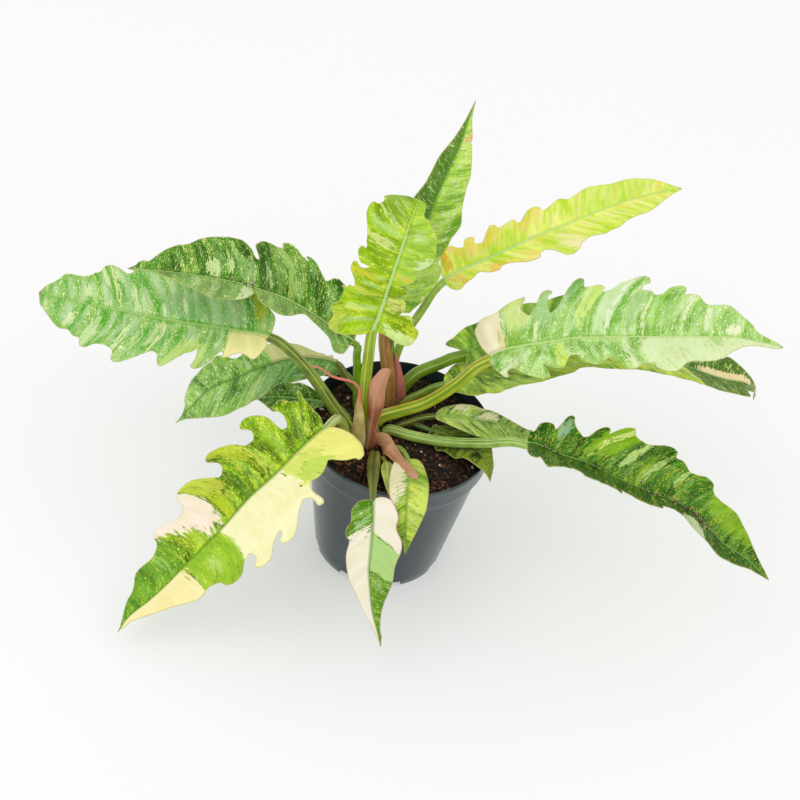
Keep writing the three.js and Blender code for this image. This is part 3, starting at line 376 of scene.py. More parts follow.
        "right": """0,0 -0.3,4.9 2.1,11.4 7.2,23.2 14.8,36.5 13.5,27.6 14.8,26.5 17,28.3 21.2,36.5 23.7,40.6
            26.4,43.1 28.8,43.9 30.8,43.2 31.9,40.6 33,28.7 33.7,35.4 35.7,37.1 39.2,35.2 47.8,26.1 51.6,23.5
            54.8,22.5 55,25.4 52.1,34.8 53.4,36.7 56.7,37.4 61.3,36.3 72.7,28.8 77,26.6 79.8,27.3 81.2,30.4
            82.5,37.5 84.4,39.4 87.3,40.1 92.2,37.7 98.2,33.5 101.8,32.9 103.9,39.6 106,42.3 109.5,43.4
            114.5,42.3 126.5,35.8 132.7,33.3 139.4,31.8 152.7,29.9 159.7,27.4 191.9,9.1 199.2,6.4
            220.9,3.8""",
        "radius": [5, 4.2], "slot": "leaf_cream", "seed": 6, "quilt": (13, 1),
        "ground": ("69a922", "b8e675", "b8e468"), "fleck": ("f8fcd2", 0.9, 0.65), "ribColour": "c9dd90",
        "stalkColours": ("96b005", "c7d13b"),
        # the yellow line e8e048 is a painted highlight along the stalk
        "lines": [("eeb03c", -0.75, 0.5), ("e8e048", 0.5, 0.13), ("6c9808", 0.95, 0.3),
            ("7ca40c", 0.05, 0.28)],
        "sheen": 0.28, "slant": (0.12, -0.3, 0),
        "patches": [("fff4d4", -1, -9, 14, -1, 80, 1), ("dcec90", -1, 14, 30, 12, 80, 0.85),
            ("8cbc3c", -1, 13, 30, -1, 14, 0.6), ("f8e8a8", -1, 8, 15, -1, 12, 0.8),
            ("98c888", -1, 28, 52, 12, 80, 0.6), ("f4f8c0", -1, 33, 37, 2, 18, 0.95),
            ("dcf488", -1, 60, 72, 14, 80, 0.9), ("d8f0bc", -1, 74, 90, 4, 60, 0.7),
            ("eefadc", -1, 84, 88, 4, 40, 0.97), ("78bc44", -1, 89, 94, 4, 60, 0.8),
            ("c8e8ac", -1, 96, 110, 6, 70, 0.6), ("f4fad0", -1, 112, 115, 8, 50, 0.8),
            ("a8e060", -1, 116, 124, 10, 60, 0.7), ("f0f8cc", -1, 141, 146, 14, 40, 0.97),
            ("f4fad0", -1, 160, 164, 6, 30, 0.8), ("f4fad0", -1, 178, 188, 2, 12, 0.97),
            ("e8f4c8", 1, 18, 28, 16, 36, 0.95), ("d4f060", 1, 48, 56, 8, 60, 0.97),
            ("eefad0", 1, 98, 104, 8, 40, 0.9), ("e4f4bc", 1, 112, 250, -1, 60, 0.97),
            ("a8d070", 1, 164, 176, 0, 12, 0.7)],
    },
    "leaf_right_behind": {
        "stalk": [[-5, 43, 110], [-5, 43, 118], [4, 48, 135], [22, 61, 140]],
        "rib": [[38, 71, 146], [58, 85, 151], [80, 100, 154], [102, 115, 154], [125, 130, 152],
            [147, 145, 148], [168, 159, 140]],
        "facing": [[0, -0.1, 1], [0, -0.1, 1]], "fold": [12, 15, 15], "curl": [4, 8], "half": 30,
        "sweep": [-0.8, 0.4], "wave": 1.2,
        "crests": [[0, 18, 36, 57, 72, 92, 110, 124], [0, 22, 40, 60, 80, 98, 112, 124]],
        "left": """0,1 -6.5,12.5 4.8,15.7 15,19.7 19.2,19.6 24,19.3 28,18.6 32,18.1 36,18 40,19 44,20.3
            48,21.6 52,22.5 56,23 60,22.5 64,21.3 68,20.3 72,20 76,20.9 80,22 84,23 88,23.7 92,24 96,22.6
            100,20.3 104,18.2 108,17.1 112,17.1 116,17.5 120,17.9 124,18 128,16.7 132,15 136,13.1 140,11
            144,8.9 148,6.7 152,4.4 156,2""",
        "right": """0,1 -1.2,7 -0.6,11.9 0,14 14.5,20.5 18,21.6 21,22 24.5,21.5 34.5,17.7 39.5,17 42.5,17.7
            53.5,22 59,23 62.5,22.5 72.5,18.3 78,17.1 80.5,17.1 92,19.5 98,20 100.5,19.3 107,16 110,15.1
            112,15 123.5,16 126.5,15.3 140,9.8 158.5,0.5""",
        "radius": [5, 4.4], "slot": "leaf_dark_green", "seed": 7, "quilt": (9, 0.3),
        "ground": ("456d07", "a2d04e", "bfe83e"), "fleck": ("f8fcd6", 0.25, 0.1), "ribColour": "86b04e",
        "stalkColours": ("67860c", "7aa60c"), "slant": (0.2, 0.2, 0), "patches": [],
    },
    "leaf_right_under": {
        "stalk": [[-1, 32, 110], [-1, 32, 118], [14, 37, 130]],
        "rib": [[26, 42, 138], [52, 56, 139], [82, 72, 140], [111, 88, 144], [141, 102, 146], [173, 111, 143],
            [200, 117, 137], [224, 123, 127], [246, 131, 117], [264, 138, 111], [273, 142, 102],
            [277, 144, 90]],
        "facing": [[0, 0.25, 1], [0, 0.25, 1], [0.1, 0.05, 1], [0.3, -0.1, 0.9]], "fold": [6, 12, 18, 20],
        "curl": [4, 8], "half": 32, "sweep": [-0.3, 0.4], "wave": 1.6,
        "crests": [[0, 35, 50, 72, 92, 115, 140, 165, 203, 238],
            [0, 20, 50, 75, 98, 125, 150, 175, 192, 228]],
        "left": """0,1 4,7.7 8,10.8 12,13.9 16,16.8 20,19.4 24,21.5 28,23 32,23.8 36,23.8 40,22.4 44,20.8
            48,20.1 52,20.7 56,22.2 60,23.7 64,24.9 68,25.7 72,26 76,24.8 80,22.9 84,21.3 88,20.3 92,20
            96,21.4 100,22.8 104,24.2 108,25.3 112,25.9 116,25.9 120,24.4 124,22.4 128,20.5 132,19 136,18.2
            140,18 144,18.8 148,19.7 152,20.6 156,21.3 160,21.8 164,22 168,21.4 172,20 176,18.3 180,16.5
            184,14.7 188,13.3 192,12.1 196,11.4 200,11.1 204,11.3 208,12.6 212,14.1 216,15.6 220,16.9 224,18.1
            228,19 232,19.7 236,20 240,19.2 244.7,21.9 252.1,18.8 259.2,14.3 265.8,10.9 278.8,7.3 284.6,6.4
            285.3,1.1 285,0""",
        "right": """0,1 4,15.7 8,19.6 12,23 16,25.3 19.4,25.7 23.5,25.3 26.1,26 30.4,28.6 33,28.9 35.1,27.9
            44.5,26.7 47,26.6 49.1,27.4 50.6,27.3 51.7,27.9 55.8,28.3 63,27.2 66.5,26.2 76.8,25.4 83.2,27.1
            88.1,27 96.7,24.4 108.6,30.1 110.2,31.2 113.7,30.2 116.5,30.2 120.7,29.2 124,29.7 135,29.9
            139.9,30.5 143.3,31.6 151.8,33.1 157.1,32.1 167.6,27.7 174.7,25.9 176.7,26.1 182.5,27.7 187,27.7
            190.9,28.3 194.7,27.7 204.2,24.5 212.4,22.8 217.6,22.6 231.7,19.9 241,18.9 254.5,19.3 258.5,12
            262.5,10.6 266.5,9.1 270.5,7.7 274.5,6.2 278.5,4.7 282.5,3.2 286.5,1.6""",
        "radius": [3.6, 3], "slot": "leaf_dark_green", "seed": 8, "quilt": (9, 0.4),
        "ground": ("518131", "e8ff43", "ffff35"), "fleck": ("e4fca2", 0.8, 0.5), "ribColour": "9cc070",
        "stalkColours": ("64820a", "7daf30"), "slant": (0.2, 0.2, 0),
        "patches": [("346420", 0, 198, 320, -1, 60, 0.88), ("98b040", 1, 60, 112, -1, 60, 0.6),
            ("c4e078", 1, 20, 60, 14, 60, 0.5), ("b8d890", -1, 196, 222, 6, 20, 0.6),
            ("fae6b0", -1, 214, 272, -1, 6.5, 1), ("d8a868", 0, 277, 320, -1, 60, 0.9)],
    },
    "leaf_right_low": {
        "stalk": [[-8, -1, 110], [-8, -1, 120], [9, -4, 122], [31, -8, 126], [60, -13, 137]],
        "rib": [[92, -19, 153], [105, -21, 153], [117, -23, 151], [135, -26, 151], [147, -28, 149],
            [166, -32, 145], [185, -35, 143], [204, -38, 141], [215, -40, 139], [226, -42, 132],
            [237, -44, 123], [248, -46, 115], [261, -48, 110], [272, -50, 104], [285, -53, 96]],
        "facing": [[0, 0, 1], [0, 0, 1], [0.2, -0.35, 1]], "fold": [26, 30, 22, 8], "curl": [8, 12],
        "half": 40, "sweep": [-0.3, 0.4], "wave": 2,
        "crests": [[0, 14, 17, 22, 37, 55, 72, 84, 112, 119, 140, 155],
            [0, 11, 15, 22, 34, 47, 62, 94, 118, 136]],
        "left": """0.5,0 -0.5,3 0.3,7.8 1.1,10.5 3.2,9.6 7.2,17.1 12.8,20.6 14.6,20.2 16.4,16.8 20.2,30.4
            21.5,32.9 22.5,33.7 24.1,33.1 25.7,28.6 27.9,25.1 31.7,21 34.2,19.1 35.8,18.9 36.9,19.5 37.6,20.4
            38.4,27.8 39.7,31 41,31.8 43.4,30.2 44.4,28.1 45.2,37.8 45.9,39.7 47.6,41.9 49.6,41.5 54.8,37.9
            67.1,34.2 71,33.7 74.5,34.5 76.8,36.6 79.3,40.1 81.8,41.8 83.4,42.2 85.9,41.7 89.2,40 94.3,33.9
            97.7,33.3 101.9,31.6 109.5,26.5 113.7,26.2 115.5,27.1 117.6,29.4 119.3,29.9 122.1,29.5 124.5,28.2
            128.2,24.2 130.2,22.7 132.1,22 139.5,22.1 148.3,25.1 153.4,26 159.9,25.4 163.8,24.3 172.7,19.7
            182.9,12.5 191.6,7.8 199.8,4.2 203.8,2.8""",
        "right": """0,1 2.9,9.7 5.5,17.7 7.6,21.4 9.4,23.1 11.7,22.8 12.6,22.2 13.5,20.7 18.8,31.1 19.7,30.2
            22.5,25.2 24.2,23.7 27.2,22.7 30.8,22.1 31.7,22.4 35.1,20.6 36.1,21.8 39.1,23.5 39.2,26.7
            44.5,24.8 50.8,24.1 52.1,24.5 60.2,24.2 64.7,24.9 65.9,24.6 67.3,26.4 68.8,24.9 70.6,20.6
            84.9,22.2 89.8,21.7 101.7,19.1 103.4,17.5 103.7,14.8 107.1,14.2 111.3,12.3 113.8,12.2 114.8,13.2
            118.3,14.5 120.1,16.2 122.1,19.3 124,20.4 125.9,20.4 136,18.2 144.9,15.5 158.6,15.1 170.8,12.2
            174.8,11.7 180.7,9.9 192.2,4.8 196.2,4 200.2,2.8 204.2,1.7""",
        "radius": [4.4, 3.4], "slot": "leaf_dark_green", "seed": 9, "quilt": (9, 0.6),
        "ground": ("0c3f00", "3c8f00", "88bc14"), "fleck": ("c6c457", 0.9, 0.65), "ribColour": "8cb860",
        "stalkColours": ("688d12", "b7d86d"), "sheen": 0.05, "slant": (0.2, 0, 0),
        "lines": [("cfe694", -0.5, 0.16), ("d4ea9c", 0.25, 0.12), ("6c9c38", 0.5, 0.13),
            ("bcdc7c", 0.95, 0.16)],
        "ribHalf": 0.8,
        "patches": [("c8e48c", -1, 62, 70, 10, 34, 0.95), ("c0dc84", -1, 84, 88, 8, 30, 0.9),
            ("98c81c", -1, 36, 58, 8, 60, 0.65), ("98c81c", -1, 120, 200, 8, 60, 0.6),
            ("e4f090", -1, 42, 47, 18, 44, 0.9), ("a8d0b0", -1, 14, 22, 12, 30, 0.7),
            # the dark patch 2c5410 over the right half is painted shade
            ("c0dc84", -1, 104, 108, 14, 30, 0.9), ("2c5410", 1, -9, 220, -1, 60, 0.7),
            ("c4d4a8", 1, 118, 142, 9, 30, 0.95)],
    },
    "leaf_left_middle": {
        "stalk": [[-30, 27, 110], [-30, 27, 118], [-41, 29, 130], [-47, 30, 136]],
        "rib": [[-55, 32, 145], [-71, 36, 142], [-90, 40, 133], [-111, 44, 116], [-127, 47, 99],
            [-141, 50, 85], [-152, 53, 71], [-164, 55, 48], [-177, 58, 24]],
        "facing": [[-0.4, -0.45, 0.8], [-0.6, -0.5, 0.65]], "fold": [15, 12, 8], "curl": [4, 8], "half": 36,
        "sweep": [-0.3, 0.4], "wave": 1.4,
        "crests": [[0, 25, 42, 62, 76, 97, 113, 124], [0, 33, 41, 75, 90, 113, 128, 136]],
        "left": """0,0 -5,2.8 2.5,10.6 23.8,19.1 33.2,21.8 44.2,23.9 54.9,24.9 61.2,26.8 65.5,26.9 72.4,28.7
            79.7,28.5 87.5,29.1 94,28.9 108.4,26.9 129.8,20.6 164.3,5.1 174,2.1 178,1.1""",
        "right": """0,1 0.6,4 0.4,3.1 1.4,3.5 3.1,2.7 4.5,4.5 5.3,4.9 8.4,3.7 11.5,4.9 17.3,5.5 30.6,10.9
            37.2,12.7 40.6,14.3 45,19.2 48,14.8 52,15.3 56,15.8 60,16.2 64,16.6 68,16.8 72,17 76,16.9 80,16.2
            84,15.4 88,15 92,16.1 96,18.5 100,20.9 104,23 109.7,22.4 111.6,21.3 121.9,19.8 127.6,18.3
            136.9,18.5 141.6,17.7 149.4,15.6 156.3,12.1 159.7,9.3 160.2,6.7 165.6,3.3 170.5,1 176,0""",
        "radius": [3.6, 3], "slot": "leaf_green", "seed": 10, "quilt": (9, 0.4),
        "ground": ("327500", "9bdd19", "94cc3c"), "fleck": ("f8fcd6", 0.9, 0.7), "ribColour": "5c8c48",
        "stalkColours": ("56601a", "747e24"), "sheen": 0.15, "slant": (0.3, 0.3, 0),
        "patches": [("f4ecb0", 1, -9, 56, -1, 40, 1), ("5f946a", -1, -9, 60, -1, 60, 0.4),
            ("cce48c", -1, 59, 67, 8, 30, 0.85), ("c6dc98", 1, 74, 82, 2, 12, 0.9)],
    },
    "leaf_front_left": {
        "stalk": [[-37, -25, 110], [-37, -25, 118], [-38, -27, 133], [-40, -31, 146], [-45, -37, 157]],
        "rib": [[-52, -44, 153], [-66, -56, 139], [-80, -69, 122], [-95, -81, 106], [-109, -94, 86],
            [-120, -104, 73], [-130, -113, 61], [-140, -123, 49], [-152, -133, 36], [-164, -144, 27],
            [-171, -150, 14]],
        "facing": [[-0.5, -0.35, 0.8], [-0.5, -0.35, 0.8]], "fold": [8, 8, 8], "curl": [6, 12], "half": 50,
        "sweep": [-0.4, 0.45], "wave": 2.4,
        "crests": [[0, 8, 14, 21, 27, 31, 36, 43, 53, 72, 86, 104, 127, 136],
            [0, 21, 23, 31, 40, 56, 72, 92, 115, 134, 151, 167]],
        "left": """-1,0.8 -4.7,4.9 -6.4,11.4 -5.3,20.2 -1.6,29.2 5,40.4 7,42.7 8.9,43 8.6,39.2 10.2,37.1
            14.1,26.3 17.1,28.4 25,30.9 29,29.4 30.2,31.9 26.6,48.8 27,52.5 29.4,48.3 31.1,40.7 33.1,37
            35.5,36.2 35.2,37.3 36.1,38.4 37,41.1 37.4,45.4 37,49.3 38.3,53.8 42.2,52.1 46.4,51.7 49.3,50.5
            50.3,48.9 48.8,46.7 49,44.8 50.8,42.7 53,43.7 53.9,44.8 55.5,45.2 58.4,46.9 60.9,51.4 72.3,50.4
            77.5,48.8 79.9,47.2 80.7,45.9 79.2,44.1 79.5,42.4 82.4,38.8 86.1,36.3 87.2,36.2 88.6,37.5
            90.4,37.4 91.7,38 93,41.4 94,42.9 95,43.4 97,43.5 101.8,42.8 106.5,41.5 111.4,39.1 116.2,34.9
            124.2,32 130.6,30.8 137.5,31 142.4,30 148.7,26.9 159.9,20.4 167.5,17 187.6,9.2 197.4,4.5 205.7,2.4
            208.5,1.1 206.5,0""",
        "right": """0,1 -1,4.7 -2.1,10.7 4.5,31 5.8,37.3 7.7,38.6 8.4,35 7.6,30.6 12.6,34.8 19.3,45.6
            21.7,44.4 19.9,34.2 19.6,29.8 20.4,23.9 21.4,22 23.5,22.4 24.3,25.8 24.6,38.3 25.9,45.4 27.9,53.2
            29.3,56.4 30.2,57.3 32.2,55.7 33.6,52.8 33.8,50.8 32.7,45.7 32.9,42.8 34.1,38.8 36.9,34.9
            38.4,34.4 41.2,34.7 43.3,35.6 44.8,43.5 47.6,50.7 50.4,55.1 52.8,56 56.2,54.9 59.1,52 59.9,50.4
            60.5,44.1 62.4,39.5 64.6,36 66.8,33.8 71.9,31 74.7,36.4 76.2,43.1 77.2,46 78.6,48.4 81.7,51.5
            85.2,53.2 87.7,53.7 95.9,50.1 105.2,37.7 111,33.7 115.8,33.2 121.5,36.5 124.6,40.1 128.3,41.9
            133.6,39 138.6,32.5 144.2,28.2 151.3,25.8 156,25.6 164.7,27.1 169,26.5 172.8,24 176.9,20 183,15.1
            190.1,11.7 200.1,5.2 207,1.9""",
        "radius": [4, 3.4], "slot": "leaf_cream", "seed": 11, "quilt": (15, 0.4),
        "ground": ("304f00", "86c200", "b4d418"), "fleck": ("f4f060", 0.85, 0.45), "ribColour": "649820",
        "stalkColours": ("8c9838", "b4bc68"), "sheen": 0.06, "slant": (-0.45, -0.12, 0), "ribHalf": 0.75,
        "lines": [("c4cc94", 0.5, 0.3), ("7c9450", 0, 0.16), ("b8c488", -0.6, 0.3)],
        "patches": [("c8d838", 1, 47, 62, 26, 60, 0.75), ("d4e04c", 1, 76, 97, 18, 60, 0.8),
            ("e8f060", 1, 49, 53, 4, 40, 0.6), ("3c6c08", 1, 70, 78, -1, 40, 0.6),
            ("c0d828", 1, 88, 96, 0, 30, 0.8), ("b8d830", 1, 119, 130, 2, 40, 0.7),
            ("fff0dc", 1, 97, 120, 3, 90, 1), ("fff0dc", 1, 98, 135, 18, 60, 1),
            ("fff0dc", 1, 100, 144, 28, 60, 1), ("4f9c30", 1, 140, 220, -1, 90, 0.5),
            ("b4e070", 1, 150, 158, 10, 40, 0.6), ("f4f288", -1, -9, 48, -1, 90, 1),
            ("b4dc48", -1, 22, 44, 14, 32, 0.7), ("cce860", -1, 16, 52, 2, 20, 0.5),
            ("f8f8d8", -1, 44, 47, 8, 60, 0.6), ("fff0b0", -1, 62, 66, 4, 60, 0.5),
            ("fff0b0", -1, 84, 88, 10, 60, 0.5), ("fffbc8", -1, 44, 108, -1, 90, 1),
            ("a4d430", -1, 107, 146, -1, 90, 0.8), ("d8f08c", -1, 124, 132, 12, 30, 0.5),
            ("80b828", -1, 108, 146, 0, 10, 0.5), ("fff3b4", -1, 146, 230, -1, 90, 1)],
    },
    "leaf_left_under": {
        "stalk": [[-38, 5, 110], [-38, 5, 117], [-42, 4, 124], [-49, 3, 130]],
        "rib": [[-60, 0, 134.5], [-75, -2, 135], [-90, -3, 134], [-107, -2, 127]],
        "facing": [[-0.1, -0.1, 1], [-0.2, -0.1, 1]], "fold": [14, 10], "curl": [4, 8], "half": 18,
        "sweep": [-0.2, 0.4], "wave": 0.6, "crests": [[0, 14, 19, 27], [0, 13, 19, 27]],
        "left": """0,1 -1.2,2.5 -0.6,4.2 0,5 3,7.3 9,13.6 12,15.6 14.5,15.9 17.5,14.3 19,14 27,15 30.5,13.3
            35.5,10.1 48,0.6""",
        "right": """0,1 -1.2,2.5 -0.6,4.2 0,5 2.5,6.8 8.5,12.9 11.5,14.8 13.5,14.9 18.5,13 27,14 30.5,12.4
            35.5,9.5 48,0.6""",
        "radius": [2.8, 2.2], "slot": "leaf_dark_green", "seed": 12, "quilt": (9, 0.2),
        "ground": ("0f3e00", "5a8b00", "6a9b00"), "fleck": ("f8fcd6", 0.6, 0.3), "ribColour": "7aa850",
        "stalkColours": ("4c7c2c", "5c9040"), "slant": (0.2, 0.2, 0), "patches": [],
    },
    "leaf_right_small": {
        "stalk": [[-2, 6, 110], [-2, 6, 118], [8, 7, 126]],
        "rib": [[23, 9, 135], [39, 10, 136], [54, 12, 135], [70, 14, 134], [86, 15, 129], [101, 17, 121]],
        "facing": [[0, -0.1, 1], [0, -0.1, 1]], "fold": [12, 12], "curl": [4, 8], "half": 20,
        "sweep": [-0.1, 0.35], "wave": 0.6, "crests": [[0, 11, 21, 50], [0, 22, 32, 47]],
        "left": """0.6,0 3,3.7 6.2,6.6 10.3,9.3 15.3,11.4 20.9,12.4 26.8,12.6 33.7,11.1 41.4,10.2 55,7.3
            69.8,6 75.5,6.3""",
        "right": """0.7,0.8 2.8,5 8.4,8.1 31.2,19 39.2,18.9 43.2,16.9 47.2,17 51.2,16.3 55.2,15 59.2,13.4
            63.2,11.5 67.2,9.4 71.2,7 75.2,4.4""",
        "radius": [2.8, 2.2], "slot": "leaf_light_green", "seed": 13, "quilt": (9, 0.2),
        "ground": ("325c22", "b6d163", "d6ea4f"), "fleck": ("f8fcd6", 0.5, 0.4), "ribColour": "86b450",
        "stalkColours": ("3c4a08", "5c6a1c"), "slant": (0.5, 0.5, 0),
        "patches": [("efe9c4", -1, 5, 22, 5, 30, 0.95), ("efe9c4", -1, 30, 48, -1, 8, 0.95),
            ("efe9c4", -1, 24, 34, 8, 30, 0.8), ("a4cc5a", 1, 10, 81, 8, 40, 0.6)],
    },
    "leaf_front_hanging": {
        "stalk": [[-14, -24, 110], [-14, -24, 117], [-13, -44, 125], [-11, -66, 131], [-9.5, -76, 131.5]],
        "rib": [[-8.3, -83, 129.7], [-5.7, -92, 120.2], [-3.7, -102, 105.3], [-1.8, -111, 89],
            [1.7, -118, 76.2], [5.8, -124, 62.2], [12.1, -129, 47.5], [17.4, -133, 33.3]],
        "facing": [[0, -0.5, 0.85], [0, -0.8, 0.6], [0, -0.9, 0.4]], "fold": [10, 8, 4], "curl": [10, 16],
        "half": 24, "sweep": [-0.3, 0.3], "wave": 0.7,
        "crests": [[0, 10, 17, 34, 46, 54], [0, 9, 12, 24, 31, 48]],
        "left": """-1,0 -2.3,2.2 -2.6,5.7 -0.9,9.9 2.5,13.4 12.2,17.9 13.8,17 16,16.8 18.5,18.2 20.7,20.7
            24.5,21.8 29.8,21.3 36.9,19.4 44.6,18.1 52.9,17.3 59.8,15.5 74.5,9.6 91.3,4 99.5,2.1 103.5,2.2
            107.5,1.3""",
        "right": """-0.9,1.5 -0.6,5.7 1.6,10 5.1,13.5 8.1,15.3 15,15.8 17.1,18 19.8,18.9 23,18.1 26.4,15.7
            36.6,16.9 54.1,14.3 69.3,9.6 85.7,5.4 106.9,1 110.9,0.6""",
        "radius": [2.6, 2], "slot": "leaf_cream", "seed": 14, "quilt": (9, 0.2),
        "ground": ("3b7800", "6a9705", "7da904"), "fleck": ("f8fcd6", 0.5, 0.3), "ribColour": "6c9c48",
        "stalkColours": ("5c6420", "848c3c"), "marginColour": "c8a08c", "slant": (0.5, 0.5, 0),
        "ribHalf": 0.6, "broad": ([-64, -44, -24, -10, 4], [1.5, 2.1, 1.9, 1.25, 0.9]),
        "lines": [("b0a850", -1.35, 0.4), ("a89c40", 1.35, 0.4), ("4c5418", 0, 0.3)],
        "patches": [("f6f0da", 1, 15, 120, -1, 40, 1), ("a8d488", 1, 9, 15, 2, 12, 0.7),
            ("f6eeda", -1, -9, 22, -1, 40, 1), ("b4d884", -1, 22, 50, -1, 40, 1)],
    },
    "leaf_front_short": {
        "stalk": [[1, -13, 110], [1, -14, 117], [5, -19, 120]],
        "rib": [[10.5, -31.2, 125], [13.2, -57.6, 130.5], [14.6, -72, 131.5], [16, -82.5, 126],
            [18.5, -88.5, 112], [22, -92, 90]],
        "facing": [[0, -0.2, 1], [0, -0.3, 0.9], [0, -0.8, 0.6]], "fold": [12, 10, 6], "curl": [4, 8],
        "half": 18, "sweep": [-0.3, 0.3], "wave": 0.5, "crests": [[0, 25, 42, 58], [0, 27, 40, 52]],
        "left": "-1.3,0 0.2,3.8 3.5,7.7 17.1,13.4 27.8,15.1 44.9,14.6 51.7,13.6 86.3,1.6",
        "right": """0,1 6.4,8.9 9.4,11.2 15.2,12.8 33.9,13.7 40.5,13 45.6,11.5 55.5,5.9 59.5,6.2 63.9,7.2
            84.5,1.3 88.5,1.3""",
        "radius": [2.4, 2], "slot": "leaf_light_green", "seed": 15, "quilt": (9, 0.2),
        "ground": ("4b8c02", "bacf49", "dbe73a"), "fleck": ("f8fcd6", 0.4, 0.3), "ribColour": "84a83c",
        "stalkColours": ("84a83c", "a4c45c"), "marginColour": "b8845c", "slant": (0.5, 0.5, 0),
        "ribHalf": 0.7, "patches": [("f3ecc8", 1, -9, 52, 1, 40, 1), ("cbe66c", -1, 16, 92, 7, 40, 0.8)],
    },
    "leaf_front_narrow": {
        "stalk": [[-8, -27, 110], [-8, -27, 117], [-6, -32, 120]],
        "rib": [[-4, -37, 122.5], [-2.5, -50, 127], [0, -64, 130.5], [3, -78, 131.5]],
        "facing": [[0, -0.2, 1], [0, -0.2, 1]], "fold": [30, 30], "curl": [0, 0], "half": 5,
        "sweep": [0, 0.3], "wave": 0, "crests": [[0, 14], [0, 14]],
        "left": "0,3 8,5 16,5.2 28,3.6 36,2 41,0.6", "right": "0,3 8,5 16,5.2 28,3.6 36,2 41,0.6",
        "radius": [1.9, 1.5], "slot": "leaf_light_green", "seed": 16, "quilt": (9, 0),
        "ground": ("8ca43c", "b4c454", "c8c850"), "fleck": ("dcecaa", 0.1, 0.1), "ribColour": "d8dca0",
        "stalkColours": ("7ca434", "a8c85a"), "slant": (0.2, 0.2, 0), "patches": [],
    },
    "leaf_right_drooping": {
        "stalk": [[7, 12, 110], [7, 12, 117], [15, 9, 121]],
        "rib": [[24, 7, 121.5], [37, 3, 122], [48, -5, 125], [58, -13, 129], [64, -21, 131], [70, -27, 127],
            [73, -30, 117]],
        "facing": [[0, 0, 1], [0, 0, 1], [0.1, -0.1, 1], [0.6, -0.3, 0.7]], "fold": [0, 4, 4], "curl": [0, 8],
        "half": 18, "sweep": [-0.2, 0.35], "wave": 0.5, "crests": [[0, 20], [0, 12, 20, 30]],
        "left": "0,1 -1.2,3 -0.6,5.1 0,6 4.5,7.7 15,14.7 18,15.8 21,15.9 30.5,14.3 43,10.9 56.5,6.2 71,0.4",
        "right": """0,1 -1.2,3 -0.6,5.1 0,6 2.5,7.8 8,15.3 9.5,16.9 11,17.8 13,17.9 19.5,16 30,17 37,15.3
            47,11.7 58.5,6.7 71,0.4""",
        "radius": [2.2, 1.8], "slot": "leaf_dark_green", "seed": 17, "quilt": (9, 0.2),
        "ground": ("041000", "809720", "97a919"), "fleck": ("f8fca3", 0.1, 0.05), "ribColour": "7aa044",
        "stalkColours": ("4c7c2c", "5c9040"), "slant": (0.2, 0.2, 0),
        "patches": [("8c9c34", 0, 52, 90, -1, 40, 0.8)],
    },
    "leaf_left_small": {
        "stalk": [[-37, 30, 110], [-37, 31, 117], [-40, 35, 124], [-44, 39, 129]],
        "rib": [[-50, 40, 132], [-57, 38, 133], [-64, 35, 133], [-72, 31, 131]],
        "facing": [[-0.1, -0.2, 1], [-0.2, -0.2, 1]], "fold": [16, 12], "curl": [4, 6], "half": 9,
        "sweep": [-0.1, 0.3], "wave": 0, "crests": [[0, 8], [0, 8]],
        "left": "0,3 2,3.7 6,7.3 8,8 14.5,5.6 23.5,0.4", "right": "0,3 2,3.7 6,7.3 8,8 14.5,5.6 23.5,0.4",
        "radius": [1.9, 1.6], "slot": "leaf_dark_green", "seed": 18, "quilt": (9, 0),
        "ground": ("4c8430", "78ac4c", "8dc03c"), "fleck": ("b8d488", 0.2, 0.1), "ribColour": "8cb860",
        "stalkColours": ("5c8c3c", "7ca854"), "slant": (0.2, 0.2, 0), "patches": [],
    },
}

